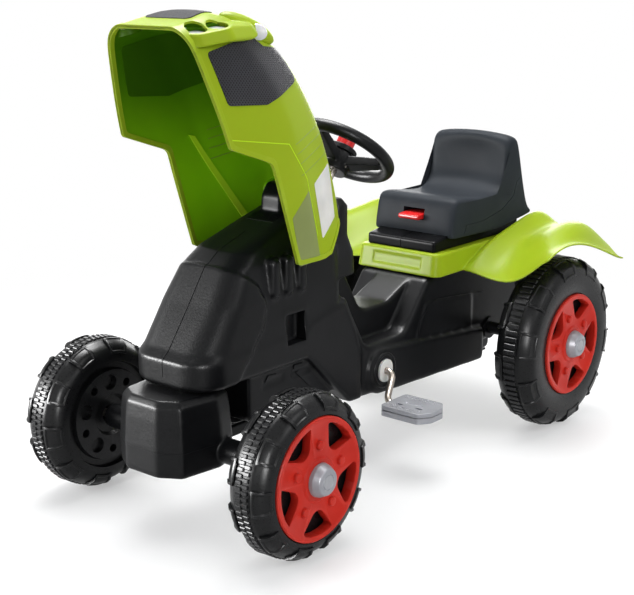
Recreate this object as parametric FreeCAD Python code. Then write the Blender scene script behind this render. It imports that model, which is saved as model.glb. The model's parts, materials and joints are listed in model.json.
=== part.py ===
import FreeCAD
import Part
import math
import os

# Pedal tractor: +X forward, +Y to the rider's left, +Z up, millimetres.
# Sizes below are measured from the point of the floor under the rear axle;
# every piece is moved back by ORIGIN_X when it is written out.

# Wheels and axles
REAR_R = 136.0
FRONT_R = 107.5
WHEELBASE = 632.0
REAR_FACE_Y = 220.0
FRONT_FACE_Y = 223.0
REAR_WIDTH = 72.0
FRONT_WIDTH = 70.0
DISC_R = 80.0
DISC_DEPTH = 9.0
CAP_R = 22.0
CAP_HEIGHT = 14.0
AXLE_R = 6.0
LUGS = 10
WINDOWS = 5
TYRE_WALL = 3.5
HUB_R = 22.0
REAR_PHASE = 8.0
FRONT_PHASE = 20.0

# Fits: running is radial play on a shaft, seat is play of a fixed insert,
# gap keeps pieces that move past each other apart
RUN = 0.1
SEAT = 0.1
GAP = 0.4
WALL = 3.0

# Crank and chain drive
CHAIN_PITCH = 12.7
CHAIN_LINKS = 56
CRANK_TEETH = 10
AXLE_TEETH = 8
CHAIN_Y = 18.0
ROLLER_R = 3.0
SPROCKET_T = 3.0
CRANK_R = 45.0
CRANK_ROD_R = 5.0
CRANK_ANGLE = -68.5
CRANK_ARM_Y = 88.0
CRANK_BEND = 11.0
PEDAL_IN_Y = 100.0
PEDAL_LENGTH = 78.0
PEDAL_DEPTH = 64.0
PEDAL_TOP = 7.0
PEDAL_LOW = 9.0

# Black body
TREAD_HALF = 64.0
SPINE_HALF = 32.0
CASE_HALF = 72.0
BELLY_HALF = 52.0
HOUSING_HALF = 36.0
BODY_FRONT_X = 680.0
LIP_Z = 190.5
FLOOR_FRONT = (372.0, 104.0)
FLOOR_REAR = (40.0, 90.0)
PILLAR_REAR_X = -95.0
AXLE_STEP_Z = 116.0
EYE_X = -118.0
EYE_Z = 152.0
EYE_R = 6.0
EYE_T = 12.0

# Front axle block and its king pin
BLOCK_HALF = 66.0
BLOCK_BOTTOM = 86.0
BLOCK_TOP = 187.0
BLOCK_REAR_X = 606.0
BLOCK_FRONT_X = 722.0
ARM_R = 17.0
PIN_R = 7.0
PIN_HEAD_R = 13.0
PIN_HEAD_Z = 126.0
PIN_HEAD_T = 7.0
PIN_BOSS_TOP = 228.0
FORK_END_X = 498.0
FORK_HALF = 18.0
FORK_SLOT_HALF = 9.0
FORK_BOTTOM = 96.0
FORK_TOP = 112.0

# Steering
WHEEL_X = 312.0
WHEEL_Z = 456.0
COLUMN_TILT = 38.0
RIM_R = 72.0
RIM_TUBE_R = 9.0
HUB_DROP = 16.0
WHEEL_HUB_R = 20.0
COLUMN_R = 5.0
COLUMN_LENGTH = 330.0
COLUMN_OFFSET = 55.0
COLUMN_PIN_LENGTH = 90.0
COLUMN_BEND = 10.0
SPOKE_ANGLES = (0.0, 110.0, -110.0)
HORN_R = 13.5
HORN_HEIGHT = 22.0
HORN_TRAVEL = 5.0
CUP_R = 22.0
BUSH_R = 9.0

# Bonnet, drawn closed and then tipped open about its hinge pin
HINGE_X = 445.0
HINGE_Z = 415.0
OPEN_ANGLE = 77.0
BONNET_WALL = 3.0
HINGE_PIN_R = 4.0
LUG_HALF = 18.0
EAR_T = 5.0
NOTCH_HALF = 32.0
NOTCH_X = 433.0
LAMP_R = 11.0
LAMPS = ((49.5, 261.0), (64.0, 283.0))

# Seat, its rail and the mudguard
DECK_Z = 288.0
DECK_HALF = 75.0
SKIRT_HALF = 79.0
SKIRT_Z = 253.0
DECK_FRONT_X = 171.0
DECK_REAR_X = -102.0
TAIL_X = -138.0
WING_FRONT_X = 108.0
WING_T = 3.0
RAIL_HALF = 64.0
RAIL_FRONT_X = 164.0
RAIL_REAR_X = -78.0
RAIL_FRONT_Z = 305.0
RAIL_TILT = 8.0
SEAT_HALF = 74.0
SEAT_WALL = 3.5
SEAT_EDGE = 12.0
LATCH_HALF = 19.0
LATCH_T = 9.0
LATCH_X = 72.0
LATCH_PIN_R = 3.0
LATCH_TRAVEL = 5.0

ORIGIN_X = (WHEELBASE + FRONT_R + TAIL_X) / 2


def vec(x, y, z):
    return FreeCAD.Vector(x, y, z)


def in_xz(y):
    return lambda a, b: vec(a, y, b)


def in_xy(z):
    return lambda a, b: vec(a, b, z)


def in_yz(x):
    return lambda a, b: vec(x, a, b)


def rounded_wire(points, place):
    # Closed outline through (a, b, corner radius) points.
    corners = []
    count = len(points)
    for i, (a, b, r) in enumerate(points):
        here = vec(a, b, 0)
        back = (vec(points[i - 1][0], points[i - 1][1], 0) - here).normalize()
        nxt = points[(i + 1) % count]
        ahead = (vec(nxt[0], nxt[1], 0) - here).normalize()
        half = back.getAngle(ahead) / 2
        if r == 0 or half > math.radians(89.9):
            corners.append((here, None, here))
            continue
        cut = r / math.tan(half)
        inward = (back + ahead).normalize()
        middle = here + inward * (r / math.sin(half) - r)
        corners.append((here + back * cut, middle, here + ahead * cut))
    edges = []
    for i, (start, middle, end) in enumerate(corners):
        if middle is not None:
            arc = [place(p.x, p.y) for p in (start, middle, end)]
            edges.append(Part.Arc(*arc).toShape())
        after = corners[(i + 1) % count][0]
        if (after - end).Length > 1e-6:
            edges.append(Part.makeLine(place(end.x, end.y), place(after.x, after.y)))
    return Part.Wire(edges)


def prism(points, y0, y1, inset=0.0):
    face = Part.Face(rounded_wire(points, in_xz(y0)))
    if inset:
        face = face.makeOffset2D(-inset)
    return face.extrude(vec(0, y1 - y0, 0))


def soft_prism(points, half, edge_r, above=-1000.0):
    # Slab between y = -half and y = +half, its outlines rounded over above a height.
    slab = prism(points, -half, half)
    rims = []
    for edge in slab.Edges:
        ends = [edge.Vertexes[0].Point, edge.Vertexes[-1].Point]
        on_face = all(abs(abs(p.y) - half) < 1e-6 for p in ends)
        if on_face and abs(ends[0].y - ends[1].y) < 1e-6 and max(p.z for p in ends) > above:
            rims.append(edge)
    return slab.makeFillet(edge_r, rims)


def plate(points, z0, z1):
    return Part.Face(rounded_wire(points, in_xy(z0))).extrude(vec(0, 0, z1 - z0))


def block(sections, inset=0.0):
    # Stack of rounded rectangles (z, rear x, front x, half width, corner radius).
    wires = []
    last = len(sections) - 1
    for i, (z, x0, x1, half, r) in enumerate(sections):
        z += inset if i == 0 else -inset if i == last else 0
        x0, x1, half, r = x0 + inset, x1 - inset, half - inset, max(r - inset, 2.0)
        corners = [(x0, -half, r), (x1, -half, r), (x1, half, r), (x0, half, r)]
        wires.append(rounded_wire(corners, in_xy(z)))
    return Part.makeLoft(wires, True, True)


def spun(points, angle=360.0):
    # Solid turned about the Y axis from (radius, y) points.
    wire = Part.makePolygon([vec(r, y, 0) for r, y in points + points[:1]])
    return Part.Face(wire).revolve(vec(0, 0, 0), vec(0, 1, 0), angle)


def rod(start, end, radius):
    along = end - start
    return Part.makeCylinder(radius, along.Length, start, along)


def cross_rod(x, z, radius, y0, y1):
    return Part.makeCylinder(radius, y1 - y0, vec(x, y0, z), vec(0, 1, 0))


def upright(x, y, z0, z1, radius):
    return Part.makeCylinder(radius, z1 - z0, vec(x, y, z0))


def box(x0, x1, y0, y1, z0, z1):
    return Part.makeBox(x1 - x0, y1 - y0, z1 - z0, vec(x0, y0, z0))


def bent_rod(points, radius, bend):
    # Round bar along straight runs joined by tangent arcs.
    edges = []
    here = points[0]
    for i in range(1, len(points) - 1):
        back = (points[i - 1] - points[i]).normalize()
        ahead = (points[i + 1] - points[i]).normalize()
        half = back.getAngle(ahead) / 2
        cut = bend / math.tan(half)
        inward = (back + ahead).normalize()
        start = points[i] + back * cut
        middle = points[i] + inward * (bend / math.sin(half) - bend)
        end = points[i] + ahead * cut
        edges.append(Part.makeLine(here, start))
        edges.append(Part.Arc(start, middle, end).toShape())
        here = end
    edges.append(Part.makeLine(here, points[-1]))
    section = Part.Wire(Part.makeCircle(radius, points[0], points[1] - points[0]))
    return Part.Wire(edges).makePipeShell([section], True, True)


def joined(shapes):
    whole = shapes[0].fuse(shapes[1:]) if len(shapes) > 1 else shapes[0]
    return whole.removeSplitter()


def mirrored(shape):
    return shape.mirror(vec(0, 0, 0), vec(0, 1, 0))


def moved(shape, x, y, z):
    copy = shape.copy()
    copy.translate(vec(x, y, z))
    return copy


def turned(shape, base, axis, angle):
    copy = shape.copy()
    copy.rotate(base, axis, angle)
    return copy


parts = {}


# Chain run: both axles lie at one height, so the loop is symmetric about it

CRANK_PITCH_R = CRANK_TEETH * CHAIN_PITCH / (2 * math.pi)
AXLE_PITCH_R = AXLE_TEETH * CHAIN_PITCH / (2 * math.pi)
PITCH_SUM = CRANK_PITCH_R + AXLE_PITCH_R
PITCH_STEP = CRANK_PITCH_R - AXLE_PITCH_R
LOOP = CHAIN_PITCH * CHAIN_LINKS
STRAIGHT = (LOOP - math.pi * PITCH_SUM) / 2
CRANK_X = STRAIGHT - PITCH_STEP ** 2 / (2 * STRAIGHT)
CRANK_Z = REAR_R
PEDAL_DX = CRANK_R * math.cos(math.radians(CRANK_ANGLE))
PEDAL_DZ = CRANK_R * math.sin(math.radians(CRANK_ANGLE))


def floor_z(x):
    slope = (FLOOR_FRONT[1] - FLOOR_REAR[1]) / (FLOOR_FRONT[0] - FLOOR_REAR[0])
    return FLOOR_REAR[1] + (x - FLOOR_REAR[0]) * slope


# Body outlines

PILLAR_TOP = DECK_Z - WALL
CASE_REAR_X = 26.0
CASE_FRONT_X = CRANK_X + 36.0
CASE_TOP = CRANK_Z + 36.0
HOUSING_REAR_X = -46.0
BELLY_FRONT_X = 574.0
BELLY_BOTTOM = 122.0
FOOT_Z = 178.0
SPINE_Z = 222.0

TREAD = [
    (FLOOR_FRONT[0], FLOOR_FRONT[1], 10), (466, LIP_Z + 4, 10), (466, 236, 4), (378, 262, 4),
    (366, 238, 20), (330, FOOT_Z, 24), (238, FOOT_Z, 30), (182, 248, 8), (166, 254, 4), (166, PILLAR_TOP, 2),
    (PILLAR_REAR_X + 8, PILLAR_TOP, 2), (PILLAR_REAR_X, 240, 20), (PILLAR_REAR_X, 140, 14),
    (-76, AXLE_STEP_Z, 12), (CASE_REAR_X - 3, AXLE_STEP_Z, 4),
    (CASE_REAR_X, floor_z(CASE_REAR_X), 8)]
SPINE = [
    (400, 160, 4), (400, 318, 4), (352, 300, 16), (304, SPINE_Z, 30), (240, SPINE_Z, 30),
    (186, 246, 8), (166, 251, 4), (166, PILLAR_TOP, 2), (150, PILLAR_TOP, 2), (150, 160, 4)]
CASE = [
    (CASE_REAR_X, floor_z(CASE_REAR_X), 9), (CASE_FRONT_X, floor_z(CASE_FRONT_X), 30),
    (CASE_FRONT_X, CASE_TOP, 30), (CASE_REAR_X, CASE_TOP - 28, 9)]
FLANK = [
    (FLOOR_FRONT[0], FLOOR_FRONT[1], 10), (466, LIP_Z + 4, 10), (466, 240, 4), (386, 258, 4),
    (362, 214, 20), (345, 170, 8), (345, floor_z(345), 4)]
PANEL = [(209, 164, 4), (185, 214, 6), (56, 204, 8), (56, 150, 4)]
BELLY = [
    (388, LIP_Z + 24, 4), (388, BELLY_BOTTOM + 8, 6), (404, BELLY_BOTTOM, 6),
    (BELLY_FRONT_X, BELLY_BOTTOM, 14), (BELLY_FRONT_X, LIP_Z + 24, 4)]
HOUSING = [
    (HOUSING_REAR_X, floor_z(HOUSING_REAR_X), 10), (80, floor_z(80), 2), (80, 200, 4),
    (HOUSING_REAR_X, 200, 4)]
NECK = [(352, 280, 2), (352, 392, 6), (380, 392, 14), (432, 388, 4), (432, 280, 2)]
LUG = [(422, 380, 3), (426, 414, 10), (436, 429, 8), (456, 429, 8), (468, 412, 10), (470, 380, 3)]
ENGINE = [
    (LIP_Z, 372, BODY_FRONT_X - 6, 60, 40), (LIP_Z + 6, 372, BODY_FRONT_X - 1, 66, 42),
    (228, 372, BODY_FRONT_X - 1, 66, 42), (236, 372, BODY_FRONT_X - 12, 65, 40),
    (291, 373, 629, 61, 32), (336, 374, 597, 55, 28), (354, 405, 572, 50, 26),
    (374, 406, 512, 44, 20), (393, 408, 458, 36, 16), (399, 414, 436, 28, 10)]
CHEEK = [
    (LIP_Z, 372, BODY_FRONT_X - 5, 64, 42), (LIP_Z + 6, 372, BODY_FRONT_X, 71, 45),
    (228, 372, BODY_FRONT_X, 71, 45), (237, 372, BODY_FRONT_X - 11, 69, 42),
    (291, 373, 630, 66, 34), (338, 374, 598, 58, 30), (352, 400, 578, 52, 26)]
CHEEK_EDGE = [
    (720, 170, 0), (720, 370, 0), (610, 370, 0), (598, 338, 10), (563, 314, 18), (549, 284, 22),
    (560, 256, 22), (582, 230, 14), (604, 204, 20), (622, 170, 0)]
TOWER = [
    (290, 346, 420, 60, 18), (320, 341, 410, 53, 16), (344, 345, 380, 43, 12),
    (386, 342, 368, 40, 10), (398, 353, 367, 35, 6)]

NECK_HALF = 24.0
BODY_EDGE = 7.0
RIB_XS = (477.0, 504.0, 531.0)
RIB_HALF = 68.0
RIB_WIDTH = 18.0
PANEL_HALF = 66.5
FLANK_HALF = 66.0
POCKET_DEPTH = 1.8

# Steering axis: AXIS_DOWN runs from the wheel down into the body
TILT = math.radians(COLUMN_TILT)
AXIS_DOWN = vec(math.sin(TILT), 0, -math.cos(TILT))
AXIS_UP = AXIS_DOWN * -1
RIM_FORWARD = vec(math.cos(TILT), 0, math.sin(TILT))
WHEEL_CENTRE = vec(WHEEL_X, 0, WHEEL_Z)
BOSS_TOP_S = 62.0
BOSS_R = 13.0
BUSH_LENGTH = 40.0
BUSH_FLANGE_T = 3.0


def on_column(s):
    return WHEEL_CENTRE + AXIS_DOWN * s


def body_mass(inset):
    pieces = [block(ENGINE, inset), block(TOWER, inset)]
    if inset:
        flat = ((TREAD, TREAD_HALF), (SPINE, SPINE_HALF), (CASE, CASE_HALF), (BELLY, BELLY_HALF),
                (HOUSING, HOUSING_HALF), (NECK, NECK_HALF))
        pieces += [prism(outline, inset - width, width - inset, inset) for outline, width in flat]
    else:
        pieces += [soft_prism(TREAD, TREAD_HALF, BODY_EDGE), soft_prism(SPINE, SPINE_HALF, 3.0),
                   soft_prism(CASE, CASE_HALF, 4.0), soft_prism(BELLY, BELLY_HALF, 3.0),
                   soft_prism(FLANK, FLANK_HALF, 3.0), soft_prism(PANEL, PANEL_HALF, 1.5),
                   prism(HOUSING, -HOUSING_HALF, HOUSING_HALF), prism(NECK, -NECK_HALF, NECK_HALF),
                   block(CHEEK).common(prism(CHEEK_EDGE, -90, 90))]
        pieces += [cheek_rib(x) for x in RIB_XS]
    return pieces[0].fuse(pieces[1:])


COVER_HALF = 42.0
COVER_T = 3.0
COVER_REAR_X = HOUSING_REAR_X + 4
COVER_FRONT_X = CASE_FRONT_X - 6
MOUTH_MARGIN = 9.0
SCREW_R = 3.0
SCREW_HEAD_R = 5.0


def cover_screw_places():
    inner = COVER_HALF - 5
    return [(x, y) for x in (70, 190, COVER_FRONT_X - 12) for y in (-inner, inner)]


def body_shell():
    shell = body_mass(0).cut(body_mass(WALL))
    lug = soft_prism(LUG, LUG_HALF, 3.0)
    column_boss = rod(on_column(BOSS_TOP_S + 60), on_column(BOSS_TOP_S), BOSS_R)
    pin_boss = upright(WHEELBASE, 0, LIP_Z, PIN_BOSS_TOP, PIN_R + 9)
    eye = plate([(PILLAR_REAR_X + 2, -18, 0), (EYE_X - 14, -12, 11), (EYE_X - 14, 12, 11),
                 (PILLAR_REAR_X + 2, 18, 0)], EYE_Z, EYE_Z + EYE_T)
    added = [lug, column_boss, pin_boss, eye]
    added += [upright(x, y, floor_z(x + SCREW_R + 4), floor_z(x) + 16, SCREW_R + 4)
              for x, y in cover_screw_places()]
    shell = shell.fuse(added)
    # mouth under the chain, closed by the cover
    mouth = prism([(COVER_REAR_X + MOUTH_MARGIN, 60, 0), (COVER_FRONT_X - MOUTH_MARGIN, 60, 0),
                   (COVER_FRONT_X - MOUTH_MARGIN, floor_z(COVER_FRONT_X) + 8, 0),
                   (COVER_REAR_X + MOUTH_MARGIN, floor_z(COVER_REAR_X) + 8, 0)],
                  -HOUSING_HALF + WALL, HOUSING_HALF - WALL)
    cuts = [mouth]
    # swing opening for the steering rod under the belly
    cuts.append(box(470, BELLY_FRONT_X - 30, -BELLY_HALF + WALL, BELLY_HALF - WALL,
                    BELLY_BOTTOM - 5, BELLY_BOTTOM + 5))
    # two shallow pockets in each wheel arch
    for x0, x1 in ((443, 486), (500, 546)):
        pocket = box(x0, x1, BELLY_HALF - POCKET_DEPTH, BELLY_HALF + 5, 165, 178)
        cuts += [pocket, mirrored(pocket)]
    # bearings, pins and screws
    cuts.append(cross_rod(CRANK_X, CRANK_Z, CRANK_SLEEVE_R + SEAT, -CASE_HALF - 5, CASE_HALF + 5))
    cuts.append(cross_rod(0, REAR_R, AXLE_SLEEVE_R + SEAT, -TREAD_HALF - 5, TREAD_HALF + 5))
    cuts.append(rod(on_column(BOSS_TOP_S - 5), on_column(BOSS_TOP_S + BUSH_LENGTH), BUSH_R + SEAT))
    cuts.append(rod(on_column(BOSS_TOP_S), on_column(COLUMN_LENGTH), COLUMN_R + 4))
    cuts.append(upright(WHEELBASE, 0, LIP_Z - 5, PIN_BOSS_TOP + 5, PIN_R + SEAT))
    cuts.append(cross_rod(HINGE_X, HINGE_Z, HINGE_PIN_R + SEAT, -LUG_HALF - 2, LUG_HALF + 2))
    cuts.append(upright(EYE_X, 0, EYE_Z - 5, EYE_Z + EYE_T + 5, EYE_R))
    cuts += [upright(x, y, floor_z(x) - 8, floor_z(x) + 14, SCREW_R + SEAT) for x, y in cover_screw_places()]
    cuts += [upright(x, y, PILLAR_TOP - 20, PILLAR_TOP + 5, SCREW_R + SEAT) for x, y in rail_screw_places()]
    # square vents high on both sides
    vent = [(472, 221, 4), (508, 222, 4), (508, 261, 4), (472, 260, 4)]
    cuts.append(prism(vent, -90, 90))
    return shell.cut(cuts[0].fuse(cuts[1:])).removeSplitter()


def cheek_rib(x):
    # rounded upright rib on the flank of the engine block
    side = RIB_WIDTH / 2
    corner = side - 0.5
    outline = [(x - side, 290, corner), (x + side, 290, corner), (x + side, 345, corner), (x - side, 345, corner)]
    return soft_prism(outline, RIB_HALF, 6.0)


CRANK_SLEEVE_R = 9.0
AXLE_SLEEVE_R = 11.0
PLATE_T = 3.0


def crank_bearing():
    # white plate on the chain case with a sleeve through its wall
    tall, wide = 17.0, 16.0
    oval = [(CRANK_X - wide, CRANK_Z - tall, 15), (CRANK_X + wide, CRANK_Z - tall, 15),
            (CRANK_X + wide, CRANK_Z + tall, 15), (CRANK_X - wide, CRANK_Z + tall, 15)]
    face = prism(oval, CASE_HALF, CASE_HALF + PLATE_T)
    sleeve = cross_rod(CRANK_X, CRANK_Z, CRANK_SLEEVE_R, CASE_HALF - 12, CASE_HALF + PLATE_T)
    bore = cross_rod(CRANK_X, CRANK_Z, CRANK_ROD_R + RUN, CASE_HALF - 15, CASE_HALF + 10)
    return joined([face, sleeve]).cut(bore)


def axle_bush():
    flange = cross_rod(0, REAR_R, AXLE_SLEEVE_R + 7, TREAD_HALF, TREAD_HALF + PLATE_T)
    sleeve = cross_rod(0, REAR_R, AXLE_SLEEVE_R, TREAD_HALF - 16, TREAD_HALF + PLATE_T)
    bore = cross_rod(0, REAR_R, AXLE_R + RUN, TREAD_HALF - 20, TREAD_HALF + 10)
    return joined([flange, sleeve]).cut(bore)


def chain_cover():
    outline = [(COVER_REAR_X, floor_z(COVER_REAR_X), 0), (COVER_FRONT_X, floor_z(COVER_FRONT_X), 0),
               (COVER_FRONT_X, floor_z(COVER_FRONT_X) - COVER_T, 0),
               (COVER_REAR_X, floor_z(COVER_REAR_X) - COVER_T, 0)]
    lid = prism(outline, -COVER_HALF, COVER_HALF)
    keep = plate([(COVER_REAR_X, -HOUSING_HALF, 8), (45, -HOUSING_HALF, 6), (58, -COVER_HALF, 6),
                  (COVER_FRONT_X, -COVER_HALF, 10), (COVER_FRONT_X, COVER_HALF, 10),
                  (58, COVER_HALF, 6), (45, HOUSING_HALF, 6), (COVER_REAR_X, HOUSING_HALF, 8)], 60, 130)
    holes = [upright(x, y, 60, 130, SCREW_R + SEAT) for x, y in cover_screw_places()]
    return lid.common(keep).cut(holes[0].fuse(holes[1:]))


def cover_screws():
    screws = []
    for x, y in cover_screw_places():
        seat = floor_z(x - SCREW_HEAD_R) - COVER_T
        shank = upright(x, y, seat - 0.5, floor_z(x) + 12, SCREW_R)
        head = upright(x, y, seat - 3, seat - SEAT, SCREW_HEAD_R)
        screws.append(joined([head, shank]))
    return Part.makeCompound(screws)


def rail_screw_places():
    return [(x, y) for x in (-50, 130) for y in (-45, 45)]


# Wheels

def tyre(radius, face_y, width):
    inner_y = face_y - width
    bore = AXLE_R + RUN
    tread_r = radius - 5
    skin = spun([(bore, inner_y), (HUB_R, inner_y), (HUB_R + 4, inner_y + 6), (radius - 30, inner_y + 6),
                 (radius - 26, inner_y), (radius - 18, inner_y + 2), (radius - 9, inner_y + 9),
                 (tread_r, inner_y + 20), (tread_r, face_y - 20), (radius - 9, face_y - 10),
                 (radius - 18, face_y - 4), (DISC_R + 8, face_y - 3),
                 (DISC_R + 6, face_y - 1), (DISC_R + 2, face_y - 1), (DISC_R + SEAT, face_y - 3),
                 (DISC_R + SEAT, face_y - DISC_DEPTH), (bore, face_y - DISC_DEPTH)])
    hollow = spun([(HUB_R + 8, inner_y + 6 + TYRE_WALL), (tread_r - 14, inner_y + 6 + TYRE_WALL),
                   (tread_r - TYRE_WALL - 2, inner_y + 20), (tread_r - TYRE_WALL - 2, face_y - 20),
                   (DISC_R + 10, face_y - DISC_DEPTH - TYRE_WALL),
                   (HUB_R + 8, face_y - DISC_DEPTH - TYRE_WALL)])
    middle = inner_y + width / 2
    band = width * 0.17
    groove = 1.2
    tread = spun([(tread_r - 2, middle - band), (radius, middle - band), (radius, middle - groove),
                  (radius - 2.5, middle - groove), (radius - 2.5, middle + groove),
                  (radius, middle + groove), (radius, middle + band), (tread_r - 2, middle + band)])
    step = 360.0 / LUGS
    lug_angle = step * 0.6
    edge = middle + band + 2
    lug = spun([(tread_r - 3, edge), (radius - 1, edge), (radius - 1.5, face_y - 19), (radius - 5, face_y - 9),
                (radius - 12, face_y - 2.5), (radius - 21, face_y - 1), (radius - 21, face_y - 6),
                (radius - 13, face_y - 12), (tread_r - 3, face_y - 21)], lug_angle)
    far_lug = lug.mirror(vec(0, middle, 0), vec(0, 1, 0))
    lugs = []
    for i in range(LUGS):
        lugs.append(turned(lug, vec(0, 0, 0), vec(0, 1, 0), i * step))
        lugs.append(turned(far_lug, vec(0, 0, 0), vec(0, 1, 0), (i + 0.5) * step))
    body = skin.cut(hollow).fuse([tread] + lugs)
    holes = []
    for i in range(WINDOWS):
        hole = cross_rod(48, 0, 9.0, inner_y - 1, inner_y + 6 + TYRE_WALL + 1)
        holes.append(turned(hole, vec(0, 0, 0), vec(0, 1, 0), i * 360.0 / WINDOWS))
    return body.cut(holes[0].fuse(holes[1:])).removeSplitter()


def wheel_disc(face_y, phase):
    bore = AXLE_R + RUN
    back = face_y - DISC_DEPTH
    dish = spun([(bore, back), (CAP_R + 5, back), (CAP_R + 7, back + 3), (DISC_R - 10, back + 3),
                 (DISC_R - 9, back), (DISC_R, back), (DISC_R, face_y - 1.5), (DISC_R - 1.5, face_y),
                 (DISC_R - 7, face_y), (DISC_R - 10, face_y - 3), (CAP_R + 7, face_y - 3),
                 (CAP_R + 5, face_y - 1), (bore, face_y - 1)])
    outer = cross_rod(0, 0, DISC_R - 12, back - 1, face_y + 1)
    step = 360.0 / WINDOWS
    wedge = prism([(CAP_R + 21, 0, 8), (100, -64, 0), (100, 64, 0)], back - 1, face_y + 1)
    window = outer.common(wedge)
    corners = [e for e in window.Edges if abs(e.Vertexes[0].Point.y - e.Vertexes[-1].Point.y) > 1
               and e.CenterOfMass.Length > DISC_R - 16]
    window = window.makeFillet(4.0, corners)
    cuts = []
    bolts = []
    for i in range(WINDOWS):
        angle = phase + i * step
        cuts.append(turned(window, vec(0, 0, 0), vec(0, 1, 0), angle))
        bolt = Part.makeCone(6.0, 4.5, 3.2, vec(CAP_R + 20, face_y - 3.2, 0), vec(0, 1, 0))
        bolts.append(turned(bolt, vec(0, 0, 0), vec(0, 1, 0), angle + step / 2))
    return dish.fuse(bolts).cut(cuts[0].fuse(cuts[1:])).removeSplitter()


def wheel_cap(face_y):
    inside = CAP_R - 9
    seat = face_y - 1
    return spun([(inside, seat), (CAP_R, seat), (CAP_R - 1, seat + 5), (CAP_R - 5, seat + CAP_HEIGHT - 1),
                 (CAP_R - 6.5, seat + CAP_HEIGHT), (0, seat + CAP_HEIGHT), (0, seat + CAP_HEIGHT - 4),
                 (inside, seat + CAP_HEIGHT - 4)])


def axle_clip(face_y):
    seat = face_y - 1 + GAP
    return spun([(AXLE_R + SEAT, seat), (AXLE_R + 4, seat), (AXLE_R + 4, seat + 1.5), (AXLE_R + SEAT, seat + 1.5)])


def add_wheel(name, radius, face_y, width, x, phase):
    for side in ("left", "right"):
        pieces = {"tyre": tyre(radius, face_y, width), "disc": wheel_disc(face_y, phase), "cap": wheel_cap(face_y)}
        for kind, shape in pieces.items():
            if side == "right":
                shape = mirrored(shape)
            parts[f"{name}_{kind}_{side}"] = moved(shape, x, 0, radius)


def axle_rod(face_y):
    return cross_rod(0, 0, AXLE_R, -face_y - 5, face_y + 5)


def axle_clips(face_y):
    clip = axle_clip(face_y)
    return Part.makeCompound([clip, mirrored(clip)])


# Drive

DRIVE_PIN_R = 2.5
DRIVE_PIN_DROP = 4.0


def drive_pin():
    # cross pin that locks the left rear wheel to its axle
    y = REAR_FACE_Y - REAR_WIDTH + DRIVE_PIN_DROP
    return rod(vec(0, y, -HUB_R + 3), vec(0, y, HUB_R - 3), DRIVE_PIN_R)


def pin_slot():
    y = REAR_FACE_Y - REAR_WIDTH
    wide = DRIVE_PIN_R + SEAT
    deep = DRIVE_PIN_DROP + wide
    return box(-wide, wide, y - 5, y + deep, -HUB_R + 3 - SEAT, HUB_R - 3 + SEAT)


def driven_axle():
    y = REAR_FACE_Y - REAR_WIDTH + DRIVE_PIN_DROP
    return axle_rod(REAR_FACE_Y).cut(rod(vec(0, y, -20), vec(0, y, 20), DRIVE_PIN_R + SEAT))


def rear_spacers():
    near = TREAD_HALF + PLATE_T + GAP
    far = REAR_FACE_Y - REAR_WIDTH
    tubes = []
    for end, sign in ((far, 1), (far - GAP, -1)):
        tube = cross_rod(0, 0, AXLE_R + 4, near, end).cut(cross_rod(0, 0, AXLE_R + SEAT, near - 1, end + 1))
        tubes.append(tube if sign == 1 else mirrored(tube))
    return Part.makeCompound(tubes)


TOOTH_TIP = 1.0
TOOTH_PLAY = 0.7


def sprocket(teeth, pitch_r, bore_r, phase):
    wheel = cross_rod(0, 0, pitch_r + TOOTH_TIP, CHAIN_Y - SPROCKET_T / 2, CHAIN_Y + SPROCKET_T / 2)
    hub = cross_rod(0, 0, bore_r + 5, CHAIN_Y - 8, CHAIN_Y + 8)
    gaps = []
    for i in range(teeth):
        gap = cross_rod(pitch_r, 0, ROLLER_R + TOOTH_PLAY, CHAIN_Y - 10, CHAIN_Y + 10)
        gaps.append(turned(gap, vec(0, 0, 0), vec(0, 1, 0), phase + i * 360.0 / teeth))
    wheel = wheel.cut(gaps[0].fuse(gaps[1:]))
    return joined([wheel, hub]).cut(cross_rod(0, 0, bore_r + SEAT, CHAIN_Y - 10, CHAIN_Y + 10))


def chain_point(s):
    # Point of the pitch line, s measured from the rearmost point over the top.
    lean = math.asin(PITCH_STEP / CRANK_X)
    rear_arc = AXLE_PITCH_R * (math.pi / 2 - lean)
    run = CRANK_X * math.cos(lean)
    front_arc = CRANK_PITCH_R * (math.pi / 2 + lean)
    half = rear_arc + run + front_arc
    s = s * half / (LOOP / 2)
    below = s > half
    if below:
        s = 2 * half - s
    if s < rear_arc:
        angle = math.pi - s / AXLE_PITCH_R
        x, z = AXLE_PITCH_R * math.cos(angle), AXLE_PITCH_R * math.sin(angle)
    elif s < rear_arc + run:
        share = (s - rear_arc) / run
        angle = math.pi / 2 + lean
        x = AXLE_PITCH_R * math.cos(angle) * (1 - share) + (CRANK_X + CRANK_PITCH_R * math.cos(angle)) * share
        z = AXLE_PITCH_R * math.sin(angle) * (1 - share) + CRANK_PITCH_R * math.sin(angle) * share
    else:
        angle = math.pi / 2 + lean - (s - rear_arc - run) / CRANK_PITCH_R
        x, z = CRANK_X + CRANK_PITCH_R * math.cos(angle), CRANK_PITCH_R * math.sin(angle)
    return vec(x, 0, -z if below else z)


LINK_PLATE_T = 1.0
LINK_PLAY = 0.25


def chain_link(length, outer):
    # plates lie outside the sprocket, rollers run between them
    plate_y = SPROCKET_T / 2 + 0.4 + (LINK_PLATE_T + LINK_PLAY if outer else 0)
    r = 3.6
    outline = [(-r, -r, r * 0.99), (length + r, -r, r * 0.99), (length + r, r, r * 0.99), (-r, r, r * 0.99)]
    near = prism(outline, plate_y, plate_y + LINK_PLATE_T)
    solids = [near, mirrored(near)]
    reach = plate_y + LINK_PLATE_T
    pin = ROLLER_R - 1.2
    for x in (0, length):
        solids.append(cross_rod(x, 0, pin if outer else ROLLER_R, -reach, reach))
    link = joined(solids)
    if not outer:
        for x in (0, length):
            link = link.cut(cross_rod(x, 0, pin + LINK_PLAY, -reach - 1, reach + 1))
    return link


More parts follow.
